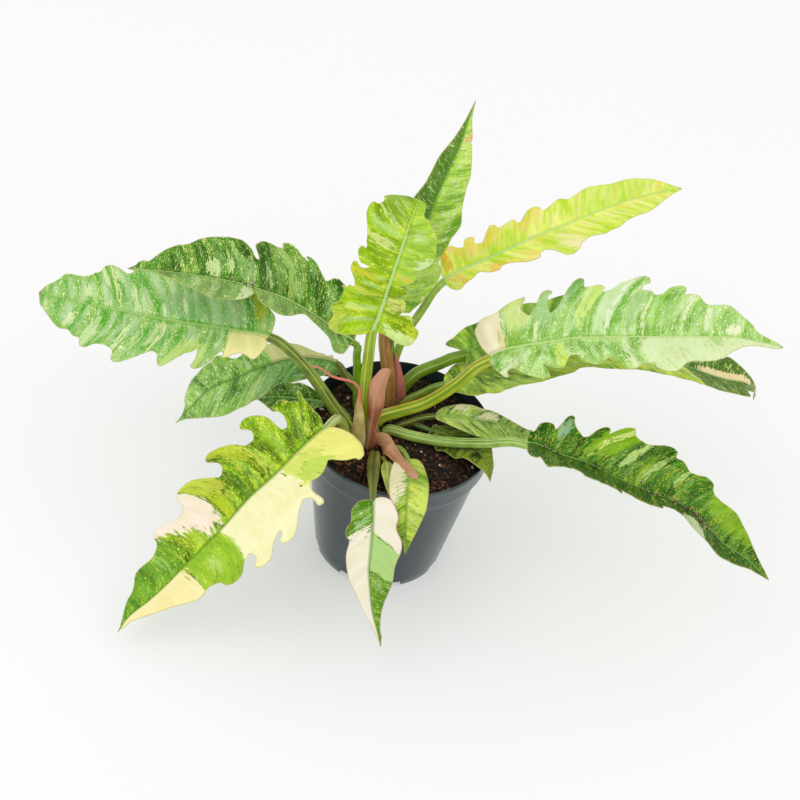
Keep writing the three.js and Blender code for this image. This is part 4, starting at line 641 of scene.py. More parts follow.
# Dried sheaths round the stalks, laid out like the leaves
sheaths = {
    "sheath_upright": {
        "rib": [[-20.5, -21, 113], [-20.5, -21.5, 127], [-20.5, -22.5, 146], [-21, -23, 160],
            [-21, -23.5, 176], [-18, -24.5, 192], [-15.5, -25, 203]],
        "facing": [[-0.2, -1, 0], [-0.2, -1, 0.1], [0.3, -1, 0]], "fold": [-14, -14], "curl": [50, 50],
        "half": 7, "sweep": [0, 0.3], "wave": 0, "crests": [[0, 40], [0, 40]],
        "left": "0,8.5 6,9 14,6.6 22,4.6 30,4.8 38,7 46,9.2 54,9.8 62,8.6 72,6.6 80,5.2 86,4 89,2",
        "right": "0,8.5 6,9 14,6.6 22,4.6 30,4.8 38,7 46,9.2 54,9.8 62,8.6 72,6.6 80,5.2 86,4 89,2",
        "seed": 31, "colours": ("8c4c30", "b87450"), "edgeColour": "d8a080", "tipColour": (38, 62, "cc9070"),
        "leftColour": ("d4b884", -20, 32, 0.8),
    },
    "sheath_right": {
        "rib": [[-13, -14, 112], [-12.5, -17, 120], [-5.4, -25, 127], [4.9, -38.6, 130], [13.3, -48, 131.5],
            [19.3, -56.4, 132.5]],
        "facing": [[0, -1, 0.3], [0, -0.5, 0.8], [0, -0.3, 1], [0, -0.3, 1]], "fold": [-10, -6],
        "curl": [30, 70], "half": 10, "sweep": [0, 0.2], "wave": 0,
        "crests": [[0, 12, 32, 34], [0, 12, 32, 34]],
        "left": "0,3.5 4,6 9,8.6 13,8.4 20,6 30,4.6 40,3.9 52,3.5 57,3 60,1.6",
        "right": "0,3.5 4,6 9,8.6 13,8.4 20,6 30,4.6 40,3.9 52,3.5 57,3 60,1.6", "seed": 32,
        "colours": ("b07858", "dca884"), "edgeColour": "d8a860", "tipColour": (52, 62, "e0988c"),
    },
    "sheath_curled": {
        "rib": [[-31.5, -24, 113], [-31.5, -24.5, 128], [-31.5, -25, 147.5], [-32, -25, 167],
            [-33, -24.5, 178], [-39, -25.5, 185], [-47.5, -27, 186.5], [-55, -28, 189], [-62, -29, 195],
            [-69, -30, 196]],
        "facing": [[-0.6, -0.8, 0], [-0.6, -0.8, 0.1], [-0.3, -0.6, 0.7], [-0.1, -0.6, 0.7], [0, -0.6, 0.8]],
        "fold": [-10, -10], "curl": [40, 60], "half": 6, "sweep": [0, 0.2], "wave": 0,
        "crests": [[0, 18, 60, 62], [0, 18, 60, 62]],
        "left": "0,8.2 8,9.4 16,9 24,7.6 34,6 44,4.2 52,2.2 60,1.2 83.5,0.9 104,0.7 106.5,0.5",
        "right": "0,8.2 8,9.4 16,9 24,7.6 34,6 44,4.2 52,2.2 60,1.2 83.5,0.9 104,0.7 106.5,0.5", "seed": 33,
        "colours": ("b8a04c", "e0d494"), "edgeColour": "e0a888", "tipColour": (44, 60, "c4604c"),
        "leftColour": ("c8a880", -20, 24, 0.6),
    },
    "sheath_tall": {
        "rib": [[-12, 24, 112], [-13, 24, 130], [-15.5, 24, 147], [-19.5, 24, 164], [-23, 25, 179],
            [-25, 26, 200]],
        "facing": [[0, -1, 0], [0, -1, 0.1], [0, -1, 0]], "fold": [-16, -16], "curl": [50, 90], "half": 8,
        "sweep": [0, 0.3], "wave": 0, "crests": [[0, 66], [0, 66]],
        "left": "0,6 17,6.3 53,7.8 69,7.9 74,7.2 79,5.8 84,3.4 88.5,0.6",
        "right": "0,6 17,6.5 52.5,8.7 68.5,8.9 74,8.1 79,6.5 84,3.9 88.5,0.6", "seed": 34,
        "colours": ("8c5c28", "c08c48"), "edgeColour": "d8a088", "tipColour": (60, 90, "8c5c34"),
        "leftColour": ("b08c3c", -20, 200, 0.75),
    },
    "sheath_red": {
        "rib": [[-4, 31, 113], [-6, 31, 132], [-8.5, 32, 145], [-11, 33, 158], [-14, 33.5, 168]],
        "facing": [[0.2, -1, 0.1], [0, -0.8, 0.5], [0, -0.5, 0.8]], "fold": [-8, -8], "curl": [30, 50],
        "half": 6, "sweep": [0, 0.2], "wave": 0, "crests": [[0, 14], [0, 14]], "left": "0,5 14,6 55.5,0.1",
        "right": "0,5 14,6 55.5,0.1", "seed": 35, "colours": ("8c4438", "c87464"), "edgeColour": "d8a090",
        "tipColour": (8, 14, "c87868"),
    },
}

def along(values, share):  # value at 0 to 1 along an evenly spaced list
    table = np.array(values, float)
    place = np.clip(share, 0, 1) * (len(table) - 1)
    low = np.minimum(place.astype(int), len(table) - 2)
    t = place - low
    if table.ndim == 2:
        t = t[:, None]
    return table[low] * (1 - t) + table[low + 1] * t


def throughPoints(points, steps):  # smooth curve through points, as the solids have it
    knots = np.array(points, float)
    knots = np.vstack([2 * knots[0] - knots[1], knots, 2 * knots[-1] - knots[-2]])
    spread = np.linalg.norm(np.diff(knots, axis=0), axis=1) ** 0.5
    line = []
    for k in range(1, len(knots) - 2):
        before, span, after = spread[k - 1:k + 2]
        start, end = knots[k], knots[k + 1]
        leave = ((start - knots[k - 1]) / before - (end - knots[k - 1]) / (before + span)
                 + (end - start) / span) * span
        arrive = ((end - start) / span - (knots[k + 2] - start) / (span + after)
                  + (knots[k + 2] - end) / after) * span
        t = np.arange(steps)[:, None] / steps
        line.append((2 * t ** 3 - 3 * t ** 2 + 1) * start + (t ** 3 - 2 * t ** 2 + t) * leave
                    + (3 * t ** 2 - 2 * t ** 3) * end + (t ** 3 - t ** 2) * arrive)
    return np.vstack([*line, knots[-2:-1]])


def unit(vectors):
    return vectors / np.linalg.norm(vectors, axis=-1, keepdims=True)


# how finely the lines are followed, and over what share of its length a blade's lean changes
leafMake = {"lineSteps": 24, "marginSteps": 4, "leanShare": 0.22, "widest": 1.2}


class Leaf:  # shape of one leaf, in mm
    def __init__(self, spec):
        self.spec = spec
        stalk, steps = spec.get("stalk", []), leafMake["lineSteps"]
        self.line = throughPoints(stalk + spec["rib"], steps)
        self.lengths = np.r_[0, np.cumsum(np.linalg.norm(np.diff(self.line, axis=0), axis=1))]
        self.lengths -= self.lengths[len(stalk) * steps]
        self.length = self.lengths[-1]
        self.foot = self.lengths[0]

    def middle(self, u):
        inside = np.stack([np.interp(u, self.lengths, self.line[:, k]) for k in range(3)], -1)
        past = np.clip(u - self.length, 0, None)[:, None] * unit(self.line[-1] - self.line[-2])
        short = np.clip(self.foot - u, 0, None)[:, None] * unit(self.line[1] - self.line[0])
        return inside + past - short

    def frame(self, u):
        ahead = unit(self.middle(u + 2) - self.middle(u - 2))
        side = unit(np.cross(ahead, along(self.spec["facing"], u / self.length)))
        return side, np.cross(side, ahead)

    def phase(self, side, a):  # goes up by one from each crest of the margin to the next
        left, right = [np.interp(a, [*stops, self.length], range(len(stops) + 1))
                       for stops in self.spec["crests"]]
        return np.where(side < 0, left, right)

    def outline(self):  # margin as one loop of (a, w), w below 0 on the left
        halves = []
        for key, sign in (("left", -1), ("right", 1)):
            spots = [[float(v) for v in spot.split(",")] for spot in self.spec[key].split()]
            halves.append(throughPoints(spots + [[self.length, 0]], leafMake["marginSteps"]) * (1, sign))
        return np.vstack([halves[0][:-1], halves[1][::-1]])

    def point(self, a, w, lift, swell):  # the spot in space, lift and swell above the middle of the sheet
        spec = self.spec
        side, w = np.where(w < 0, -1, 1), abs(w)
        t = np.clip(a / (leafMake["leanShare"] * self.length), 0, 1)
        lean = spec["sweep"][0] + (spec["sweep"][1] - spec["sweep"][0]) * t * t * (3 - 2 * t)
        u = np.minimum(a + lean * w * w / spec["half"], self.length)
        across, normal = self.frame(u)
        fold = np.radians(along(spec["fold"], u / self.length))
        bend = np.radians(np.maximum(along(spec["curl"], u / self.length), 0.01)) / spec["half"]
        slope = fold - bend * w
        out = (np.sin(fold) - np.sin(slope)) / bend - np.sin(slope) * lift
        ratio = np.minimum(w / spec["half"], leafMake["widest"])
        rise = (np.cos(slope) - np.cos(fold)) / bend + np.cos(slope) * lift
        rise += spec["wave"] * ratio * ratio * np.cos(np.pi * self.phase(side, a)) + swell
        return self.middle(u) + across * (side * out)[:, None] + normal * rise[:, None]


def edgeDistance(spots, loop):  # from each spot to the nearest stretch of the loop
    nearest = np.full(len(spots), 1e9)
    for start, end in zip(loop, np.roll(loop, -1, axis=0)):
        run = end - start
        t = np.clip(((spots - start) @ run) / max(run @ run, 1e-9), 0, 1)
        gap = spots - start - t[:, None] * run
        nearest = np.minimum(nearest, np.einsum("ij,ij->i", gap, gap))
    return np.sqrt(nearest)


def within(spots, loop):
    inside = np.zeros(len(spots), bool)
    for (x1, y1), (x2, y2) in zip(loop, np.roll(loop, -1, axis=0)):
        if y1 != y2:
            crossed = (spots[:, 1] < y1) != (spots[:, 1] < y2)
            inside ^= crossed & (spots[:, 0] < x1 + (spots[:, 1] - y1) * (x2 - x1) / (y2 - y1))
    return inside


# in mm: the grid of points, the rails beside the midrib and the room kept free at rib and margin
gridMake = {"step": 1.45, "rows": 0.87, "alongRib": 1.2, "tipRoom": 1.5, "besideRib": (0, 0.7, 1.4, 2.2),
            "ribRoom": 0.6, "marginRoom": 0.55, "merge": 0.02}
# in mm: widths of midrib, keel, rolled edge and thin edge, where the quilting sets in, and the two waves
# in which the side veins wander, each with its height and span. The fan is a share of the length.
sheetMake = {"ribWidth": 1.0, "ribTaper": 0.7, "keelWidth": (2.0, 0.8), "rollWidth": 5, "thinWidth": 8,
             "quiltStart": 6, "quiltRim": 12, "wander": ((4.0, 15), (1.6, 6.1)), "fanShare": (0.45, 0.8)}


def sheetCells(leaf, loop):  # spots (a, w) of a sheet and the triangles between them
    low, high = loop.min(axis=0), loop.max(axis=0)
    step = gridMake["step"]
    grid = []
    for k, a in enumerate(np.arange(low[0], high[0], step * gridMake["rows"])):
        row = np.arange(low[1] + (k % 2) * step / 2, high[1], step)
        grid.append(np.column_stack([np.full(len(row), a), row]))
    grid = np.vstack(grid)
    beside = gridMake["besideRib"]
    grid = grid[abs(grid[:, 1]) > beside[-1] + gridMake["ribRoom"]]
    onRib = np.arange(1, leaf.length - gridMake["tipRoom"], gridMake["alongRib"])
    rails = [np.column_stack([onRib, np.full(len(onRib), sign * w)]) for w in beside for sign in (-1, 1)]
    grid = np.vstack([grid, *rails[1:]])
    grid = grid[within(grid, loop)]
    grid = grid[edgeDistance(grid, loop) > gridMake["marginRoom"]]
    count = len(loop)
    spots = [Vector(p) for p in np.vstack([loop, grid])]
    ring = [(k, (k + 1) % count) for k in range(count)]
    made = delaunay_2d_cdt(spots, ring, [], 1, gridMake["merge"])
    cells = [f for f in made[2] if len(f) == 3]
    used = sorted({v for f in cells for v in f})
    place = {v: k for k, v in enumerate(used)}
    return np.array([made[0][v] for v in used]), [tuple(place[v] for v in f) for f in cells]


def makeSheet(name, leaf, paint, node, shape):  # a blade or a sheath, closed all round
    loop = leaf.outline()
    plane, cells = sheetCells(leaf, loop)
    a, w = plane[:, 0], plane[:, 1]
    rim = edgeDistance(plane, loop)
    spacing, depth = shape["quilt"]
    left, right, fan = leaf.spec.get("slant", (0, 0, 0))
    ahead = np.interp(a / leaf.length, sheetMake["fanShare"], (0, fan))
    root = a - abs(w) * (np.where(w < 0, left, right) + ahead)
    (high, long), (low, short) = sheetMake["wander"]
    wander = root + high * np.sin(root / long + 2 * np.sign(w)) + low * np.sin(root / short + w / 13)
    fromRib = np.clip(abs(w) / sheetMake["quiltStart"], 0, 1) ** 1.5
    rampUp = fromRib * np.clip(0.35 + rim / sheetMake["quiltRim"], 0, 1)
    vein = np.cos(2 * np.pi * wander / spacing) * rampUp  # 1 on a swelling, -1 in the vein between two
    swell = depth * vein * np.clip(1.25 - a / leaf.length, 0, 1)
    swell -= shape["roll"] * (1 - np.clip(rim / sheetMake["rollWidth"], 0, 1)) ** 2
    thick = np.clip(rim / sheetMake["thinWidth"], 0, 1)
    body = (shape["edge"] + (shape["thickness"] - shape["edge"]) * thick) / 2
    run = np.clip(a / leaf.length, 0, 1)
    ribHeight = shape["rib"] * (1 - sheetMake["ribTaper"] * run)
    upper = body + ribHeight * np.exp(-(w / sheetMake["ribWidth"]) ** 2)
    keelStart, keelEnd = sheetMake["keelWidth"]
    keelHalf = keelStart - (keelStart - keelEnd) * run
    lower = -body - shape["keel"] * (1 - run) ** 0.8 * np.exp(-(w / keelHalf) ** 2)
    top, under = leaf.point(a, w, upper, swell), leaf.point(a, w, lower, swell)
    size = len(plane)
    faces = [f[::-1] for f in cells] + [tuple(v + size for v in f) for f in cells]
    sides = {(p, q) for f in cells for p, q in zip(f, f[1:] + f[:1])}
    faces += [(p, q, q + size, p + size) for p, q in sorted(sides) if (q, p) not in sides]
    fields = {"plan": np.vstack([np.column_stack([a, w, rim])] * 2),
              "beneath": np.r_[np.zeros(size), np.ones(size)], "vein": np.r_[vein, vein]}
    return meshPiece(name, np.vstack([top, under]), faces, fields, paint, node)


# thickness, edge, rib and roll in mm
bladeMake = {"thickness": 0.6, "edge": 0.35, "rib": 0.5, "roll": 0.7, "keelShare": 0.75}
# sheen and sheenColour set a painted reflection of light on the swellings between veins
bladeLook = {"shine": 0.15, "sheen": 0.1, "sheenColour": "d8ecd4", "margin": "c4bc78", "tip": "8c7a3c",
             "under": "86a860", "ribHalf": (1.15, 0.4), "shade": (0.93, 0.93, 0.8, 1), "halvesApart": 80}
# grain of the blade: spans in mm along and across the midrib, detail, roughness and shift
bladeGrain = {"cloud": ((14, 26), 2, 0.5, 0), "sector": ((7, 45), 2, 0.6, 3),
              "streak": ((0.8, 11), 3, 0.65, 5), "smear": ((3.6, 17), 3, 0.6, 7),
              "dots": ((0.55, 0.9), 1, 0.5, 11), "dashes": ((0.7, 3.2), 2, 0.5, 13),
              "blot": ((2.3, 9), 3, 0.6, 17), "ridges": ((0.8, 26), 2, 0.5, 29),
              "pores": ((0.7, 0.9), 2, 0.5, 31)}
# patches: how far their edges stray with the blots and streaks, how sharp they are, where they turn squarish
patchLook = {"blots": 16, "streaks": 9, "sharpness": 0.6, "softest": 14, "squareFrom": 20, "endless": 160}


def bladePaint(name, leaf):
    look = leaf.spec
    p = Paint(name)
    plan = p.field("plan", "Vector")
    beneath, vein = p.field("beneath"), p.field("vein")
    a = p.split(plan)
    across, rim = a.out("Y"), a.out("Z")
    w = across.size()
    onRight = across > 0
    left, right, fan = look["slant"]
    ahead = a.ramp(*(leaf.length * share for share in sheetMake["fanShare"])) * fan
    root = a - w * (onRight * (right - left) + left + ahead)  # where the vein through here leaves the midrib
    sheet = p.join(root, across + onRight * bladeLook["halvesApart"])
    cloud, sector, streak, smear, dots, dashes, blot, ridges, pores = [
        p.noise(sheet, size, detail, rough, look["seed"] * 17.3 + shift)
        for size, detail, rough, shift in bladeGrain.values()]

    # ground colour, in streaks that run out along the veins, with brighter sectors
    dark, light, bright = [tint(c) for c in look["ground"]]
    colour = p.blend((cloud * 0.9 + streak * 0.4 + smear * 0.7 + dots * 0.3).ramp(0.88, 1.34), dark, light)
    brighter = (sector + cloud * 0.4 + smear * 0.4 + streak * 0.2).ramp(1.04, 1.2)
    colour = p.blend(brighter * 0.8, colour, bright)
    # painted shade: darker in the vein grooves between the swellings
    colour = p.blend((1 - vein).ramp(1.1, 1.98) * 0.4, colour, dark)

    # paler blotches, dashes and dots: the larger their shares, the more of them
    code, fine, large = look["fleck"]
    for amount, start, end, share, strength in (
            (blot + cloud * 0.35, 0.92, 0.95, large, streak.ramp(0.3, 0.55, 0.6, 1.0)),
            (dashes + smear * 0.35, 0.87, 0.91, fine, sector.ramp(0.38, 0.6, 0.45, 0.95)),
            (dots + cloud * 0.3, 0.88, 0.93, fine, 0.8)):
        colour = p.blend(amount.ramp(start - 0.13 * share, end - 0.13 * share) * strength, colour, tint(code))

    # painted sheen: a pale painted reflection of light on the swellings between veins
    paintedSheen = vein.ramp(-0.2, 0.8) * cloud.ramp(0.42, 0.56, 0.1, 1.0) * rim.ramp(1.0, 7.0)
    colour = p.blend(paintedSheen * look.get("sheen", bladeLook["sheen"]), colour, tint(bladeLook["sheenColour"]))

    # the large patches of each leaf, a few of them painted sheen or painted shade
    ground = colour
    ragged = (blot - 0.5) * patchLook["blots"] + (streak - 0.5) * patchLook["streaks"]
    for code, side, a0, a1, w0, w1, cover in look["patches"]:
        w0, w1 = (w0 if w0 > 0 else -w1), (w1 if w1 < 40 else patchLook["endless"])
        halfA, halfW = (a1 - a0) / 2, (w1 - w0) / 2
        power = 2.0 if max(halfA, halfW) < patchLook["squareFrom"] else 4.0
        out = ((root - (a0 + halfA)) / halfA).calc("POWER", power)
        if halfW < 150:
            out = out + ((w - (w0 + halfW)) / halfW).calc("POWER", power)
        firm = min(halfA, halfW, patchLook["softest"]) * patchLook["sharpness"]
        mask = ((1 - out) * firm + ragged).ramp(-0.3, 0.5, 0.0, cover)
        if side:
            mask = mask * (onRight if side > 0 else 1 - onRight)
        shade = tuple(c * f for c, f in zip(tint(code), bladeLook["shade"]))
        patch = p.blend((smear * 0.6 + cloud * 0.5).ramp(0.42, 0.66), shade, tint(code))
        if cover < 1:
            patch = p.blend((blot * 0.6 + dashes * 0.5).ramp(0.6, 0.65) * 0.75, patch, ground)
        colour = p.blend(mask, colour, patch)

    # midrib with painted shade in a groove on each side, margin, tip and underside
    ribBase, ribTip = bladeLook["ribHalf"]
    fromRib = w / ((ribBase - a * ((ribBase - ribTip) / leaf.length)) * look.get("ribHalf", 1))
    # painted shade: darker green in the groove on each side of the midrib
    colour = p.blend((1 - (fromRib - 1.9).size().ramp(0.2, 1.0)) * 0.4, colour, dark)
    start, end = look.get("ribFade", (leaf.length, leaf.length + 20))
    band = (1 - fromRib.ramp(0.7, 1.3)) * a.ramp(start, end, 0.85, 0.15)
    colour = p.blend(band, colour, tint(look["ribColour"]))
    edge = tint(look.get("marginColour", bladeLook["margin"]))
    colour = p.blend((1 - rim.ramp(0.2, 0.8)) * 0.55, colour, edge)
    colour = p.blend(a.ramp(leaf.length - 5, leaf.length) * 0.7, colour, tint(bladeLook["tip"]))
    colour = p.blend(beneath, colour, p.blend(0.35, colour, tint(bladeLook["under"])))
    gloss = (pores * 0.6 + cloud * 0.6 + beneath * 0.3).ramp(0.3, 1.1, 0.36, 0.6)
    return p.finish(colour, gloss, (ridges * 0.7 + pores * 0.3, 0.35, 0.0004),
                    {"Specular IOR Level": bladeLook["shine"]})


# a stalk's rings, its channel on top and its flutes, how far it runs on under the blade (a share of the
# blade, and at most so many mm), how it thins there, and how it sinks under the midrib over some mm
stalkMake = {"sides": 24, "step": 2.2, "fewest": 8, "groove": 0.16, "grooveWidth": 0.12, "flutes": 7,
             "fluteDepth": 0.012, "underBlade": (0.12, 14), "thins": 0.2, "sinks": 0.8, "sinkLength": 12,
             "steadyFrom": -8}
stalkLook = {"foot": "a89848", "footLength": 45, "lines": [("b4cc70", -0.62, 0.13), ("b4cc70", 0.62, 0.13)]}


def makeStalk(name, leaf, paint, node):
    foot, tip = leaf.spec["radius"]
    share, most = stalkMake["underBlade"]
    end = min(leaf.length * share, most)
    count = max(int((end - leaf.foot) / stalkMake["step"]), stalkMake["fewest"])
    u = np.linspace(leaf.foot, end, count + 1)
    run = np.clip((u - leaf.foot) / (end - leaf.foot), 0, 1)
    radius = (foot + (tip - foot) * run ** 0.6) * (1 - stalkMake["thins"] * np.clip(u / end, 0, 1))
    side, normal = leaf.frame(u)
    down = leaf.frame(np.maximum(u, stalkMake["steadyFrom"]))[1]
    broad = np.interp(u, *leaf.spec.get("broad", ([0], [1])))  # how much wider than it is thick
    sunk = radius * stalkMake["sinks"] * np.clip(1 + u / stalkMake["sinkLength"], 0, 1)
    centre = leaf.middle(u) - down * sunk[:, None]
    turn = aroundTurn(stalkMake["sides"])
    angle = (turn + np.pi) % (2 * np.pi) - np.pi
    bulge = 1 + stalkMake["fluteDepth"] * np.cos(stalkMake["flutes"] * turn)
    bulge = bulge - stalkMake["groove"] * np.exp(-angle ** 2 / stalkMake["grooveWidth"])
    points, plan = [], []
    for i in range(count + 1):
        ring = radius[i] * bulge
        points.append(centre[i] + np.outer(ring * broad[i] * np.sin(turn), side[i])
                      + np.outer(ring * np.cos(turn), normal[i]))
        plan.append(np.stack([np.full(len(turn), u[i]), angle, np.full(len(turn), radius[i])], -1))
    faces = ringFaces(count + 1, len(turn), rising=False)
    return meshPiece(name, np.vstack(points), faces, {"plan": np.vstack(plan)}, paint, node)


def stalkPaint(name, leaf):
    look = leaf.spec
    p = Paint(name)
    shift = look["seed"] * 11.7
    u = p.split(p.field("plan", "Vector"))
    angle = u.out("Y")
    wet = p.noise(p.place(), 0.012, 2, 0.5, shift)
    turned = p.join(u, angle.calc("COSINE") * 3, angle.calc("SINE") * 3)
    streak = p.noise(turned, (40, 0.55, 0.55), 2, 0.6, shift)
    ridges = p.noise(turned, (60, 0.35, 0.35), 1, 0.5, shift + 3)
    dark, light = [tint(c) for c in look["stalkColours"]]
    colour = p.blend((wet * 0.8 + streak * 0.8).ramp(0.55, 1.05), dark, light)
    foot = 1 - u.ramp(leaf.foot, leaf.foot + stalkLook["footLength"])
    colour = p.blend(foot * 0.35, colour, tint(stalkLook["foot"]))
    # coloured lines along the stalk; on the right_long stalk the yellow one is a painted highlight
    for code, centre, half in look.get("lines", stalkLook["lines"]):
        band = 1 - (angle - centre).size().ramp(half * 0.5, half)
        colour = p.blend(band * streak.ramp(0.2, 0.6, 0.4, 0.9), colour, tint(code))
    return p.finish(colour, wet.ramp(0.3, 0.7, 0.3, 0.42), (ridges, 0.4, 0.0006))


for name, spec in leaves.items():
    leaf = Leaf(spec)
    blade, stalk = name.replace("leaf_", "blade_"), name.replace("leaf_", "stalk_")
    shape = dict(bladeMake, quilt=spec["quilt"], keel=spec["radius"][1] * bladeMake["keelShare"])
    makeSheet(blade, leaf, bladePaint(blade, leaf), name, shape)
    makeStalk(stalk, leaf, stalkPaint(stalk, leaf), name)
print("leaves made:", len(leaves))


# Dry sheaths
sheathMake = {"thickness": 0.9, "edge": 0.5, "rib": 0.1, "keel": 0.2, "roll": 0.3, "quilt": (9, 0)}


def sheathPaint(name, spec):
    p = Paint(name)
    shift = spec["seed"] * 9.1
    plan = p.field("plan", "Vector")
    a = p.split(plan)
    across, rim = a.out("Y"), a.out("Z")
    stripes = p.noise(plan, (30, 0.5, 1), 2, 0.6, shift)
    blotch = p.noise(plan, (9, 5, 9), 3, 0.6, shift + 4)
    dark, light = [tint(c) for c in spec["colours"]]
    edge = tint(spec["edgeColour"])
    colour = p.blend((stripes * 0.7 + blotch * 0.6).ramp(0.5, 0.85), dark, light)
    colour = p.blend((1 - rim.ramp(0.2, 1.2)) * 0.5, colour, edge)
    start, end, code = spec["tipColour"]
    colour = p.blend((a + blotch * 12).ramp(start + 6, end + 6), colour, tint(code))
    code, start, end, cover = spec.get("leftColour", (spec["edgeColour"], 0, 10, 0.3))
    stray = a + blotch * 14
    half = (across + blotch * 2).ramp(2.5, -0.5) * stray.ramp(start + 2, start + 7)
    colour = p.blend(half * stray.ramp(end + 12, end + 4) * cover, colour, tint(code))
    colour = p.blend((1 - across.size().ramp(0.2, 0.9)) * 0.35, colour, edge)
    return p.finish(colour, blotch.ramp(0.3, 0.7, 0.36, 0.52), (stripes, 0.5, 0.0005))


for name, spec in sheaths.items():
    makeSheet("dry_" + name, Leaf(spec), sheathPaint(name, spec), name, sheathMake)
print("sheaths made:", len(sheaths))


# Stem stubs that the stalks stand around, in mm
crowns = {
    "crown_front": {"centre": (-20, -9), "radius": 9, "top": 126, "seed": 3},
    "crown_back": {"centre": (-11, 34), "radius": 8, "top": 125, "seed": 4},
}
crownMake = {"foot": 110, "rings": 12, "sides": 40, "taper": 0.42, "rough": 0.04,
             "colours": ("5c4a24", "8a8a48")}


def crownPaint():
    p = Paint("crown_stem")
    bark = p.noise(p.place(), (0.004, 0.004, 0.0012), 4, 0.6)
    colour = p.blend(bark.ramp(0.35, 0.65), *(tint(c) for c in crownMake["colours"]))
    return p.finish(colour, 0.7, (bark, 0.6, 0.001))


crownFinish = crownPaint()
for name, spec in crowns.items():
    foot, top, radius = crownMake["foot"], spec["top"], spec["radius"]
    rings = [(*spec["centre"], z, radius * (1 - crownMake["taper"] * ((z - foot) / (top - foot)) ** 3))
             for z in np.linspace(foot, top, crownMake["rings"])]
    turnedPiece("stub_" + name, rings, crownMake["sides"], crownFinish, name,
                rough=crownMake["rough"], seed=spec["seed"])
print("crown stubs made:", len(crowns))


# Pot, in mm
pot = {"rim": 70, "height": 126, "foot": 49, "band": 16.5, "step": 2.6, "wall": 1.4, "floor": 1.6,
       "drains": 8, "drainDepth": 6, "drainWidth": 12, "drainHeight": 6, "sides": 192,
       "colours": ("27343a", "3a484e"), "dust": "6a5a48"}


def potPaint():
    p = Paint("pot_plastic")
    place = p.place()
    grain = p.noise(place, 0.0012, 3, 0.6)
    smear = p.noise(place, (0.03, 0.03, 0.09), 3, 0.55, 4)
    dust = p.noise(place, (0.004, 0.004, 0.003), 4, 0.65, 9)
    colour = p.blend(smear.ramp(0.35, 0.7), *(tint(c) for c in pot["colours"]))
    specks = (dust + p.split(place).out("Z").ramp(0.06, 0.126) * 0.06).ramp(0.68, 0.74)
    colour = p.blend(specks * 0.5, colour, tint(pot["dust"]))
    return p.finish(colour, smear.ramp(0.3, 0.7, 0.16, 0.26) + specks * 0.3, (grain, 0.12, 0.0003))


def makePot():
    foot, rim, height, floor = pot["foot"], pot["rim"], pot["height"], pot["floor"]
    bandFoot = height - pot["band"]
    wallTop = rim - pot["step"] - 1.2

    def outer(z):
        return foot + (wallTop - foot) * z / bandFoot

    def inner(z):
        return outer(z) - pot["wall"]

    profile = [(1, 0.6), (foot - 5, 0.6), (foot - 4.2, 0), (foot - 1.2, 0), (foot - 0.3, 0.4)]
    profile += [(outer(z) + 0.02, z) for z in np.linspace(1.2, bandFoot - 0.6, 14)]
    profile += [(wallTop + 0.2, bandFoot - 0.2), (rim - 1.5, bandFoot), (rim - 1, bandFoot + 0.4),
                (rim - 0.75, bandFoot + 1.4), (rim - 0.25, height - 3.2), (rim, height - 2.6),
                (rim, height - 1), (rim - 0.25, height - 0.3), (rim - 0.8, height), (rim - 1.3, height - 0.2),
                (rim - 1.6, height - 0.9), (rim - 2.6, bandFoot + 2.2), (inner(bandFoot), bandFoot + 0.6)]
    profile += [(inner(z), z) for z in np.linspace(bandFoot - 6, floor + 3, 8)]
    profile += [(inner(floor) - 2, floor), (1, floor)]
    rings = [(0, 0, z, r) for r, z in profile]
    piece = turnedPiece("nursery_pot", rings, pot["sides"], potPaint(), "pot", 35)
    half = Vector((pot["drainDepth"], pot["drainWidth"] / 2, pot["drainHeight"])) * mm
    for k in range(pot["drains"]):
        angle = (k + 0.5) * 2 * math.pi / pot["drains"]
        block = bpy.data.meshes.new("drain")
        block.from_pydata([Vector(c) * half for c in boxCorners], [], boxFaces)
        cutter = bpy.data.objects.new("drain", block)
        bpy.context.scene.collection.objects.link(cutter)
        cutter.rotation_euler.z = angle
        cutter.location = (foot * mm * math.cos(angle), foot * mm * math.sin(angle), 0)
        cut = piece.modifiers.new("drain", "BOOLEAN")
        cut.operation, cut.solver, cut.object = "DIFFERENCE", "EXACT", cutter
        bpy.context.view_layer.objects.active = piece
        bpy.ops.object.modifier_apply(modifier="drain")
        bpy.data.objects.remove(cutter)


makePot()
print("pot made")


# Potting mix, in mm
soil = {"level": 117, "radius": 65.2, "rings": 96, "sides": 200, "colours": ("0c0705", "38251a"),
        "below": ((64.6, 110), (50, 20), (47.2, 2.2), (0.1, 2.2))}
chips = {"chips": 6200, "fibres": 800, "seed": 5, "sizes": (0.3, 0.4, 0.5, 0.6, 0.75, 1.3), "white": 0.012,
         "tones": (0.05, 0.1, 0.15, 0.25, 0.35, 0.45, 0.55, 0.7, 0.82, 0.9), "grain": "1a100a",
         "colours": ((0.0, "120c08"), (0.45, "2a1a10"), (0.75, "55341d"), (0.93, "a0683c"), (1.0, "e8e0d4"))}


def soilPaint():
    p = Paint("potting_mix")
    place = p.place()
    lumps = p.noise(place, 0.006, 4, 0.65)
    crumbs = p.noise(place, 0.0013, 3, 0.6, 3)
    colour = p.blend((lumps * 0.6 + crumbs * 0.6).ramp(0.5, 0.8), *(tint(c) for c in soil["colours"]))
    return p.finish(colour, 0.95, (crumbs + lumps, 1.0, 0.002))


def soilTop(x, y):
    hills = np.sin(x * 0.16 + 1) * np.sin(y * 0.19) + 0.5 * np.sin(x * 0.31 - y * 0.23)
    crumbs = 0.5 * np.sin(x * 1.3 + 2 * np.sin(y * 0.7)) * np.sin(y * 1.1 + 1.6 * np.sin(x * 0.9))
    grit = 0.35 * np.sin(x * 2.9 + y * 1.7) * np.sin(y * 3.3 - x * 2.1)
    calm = np.clip((soil["radius"] - np.hypot(x, y)) / 5, 0.3, 1)
    return soil["level"] + 0.3 + (hills * 0.9 + crumbs + grit) * calm


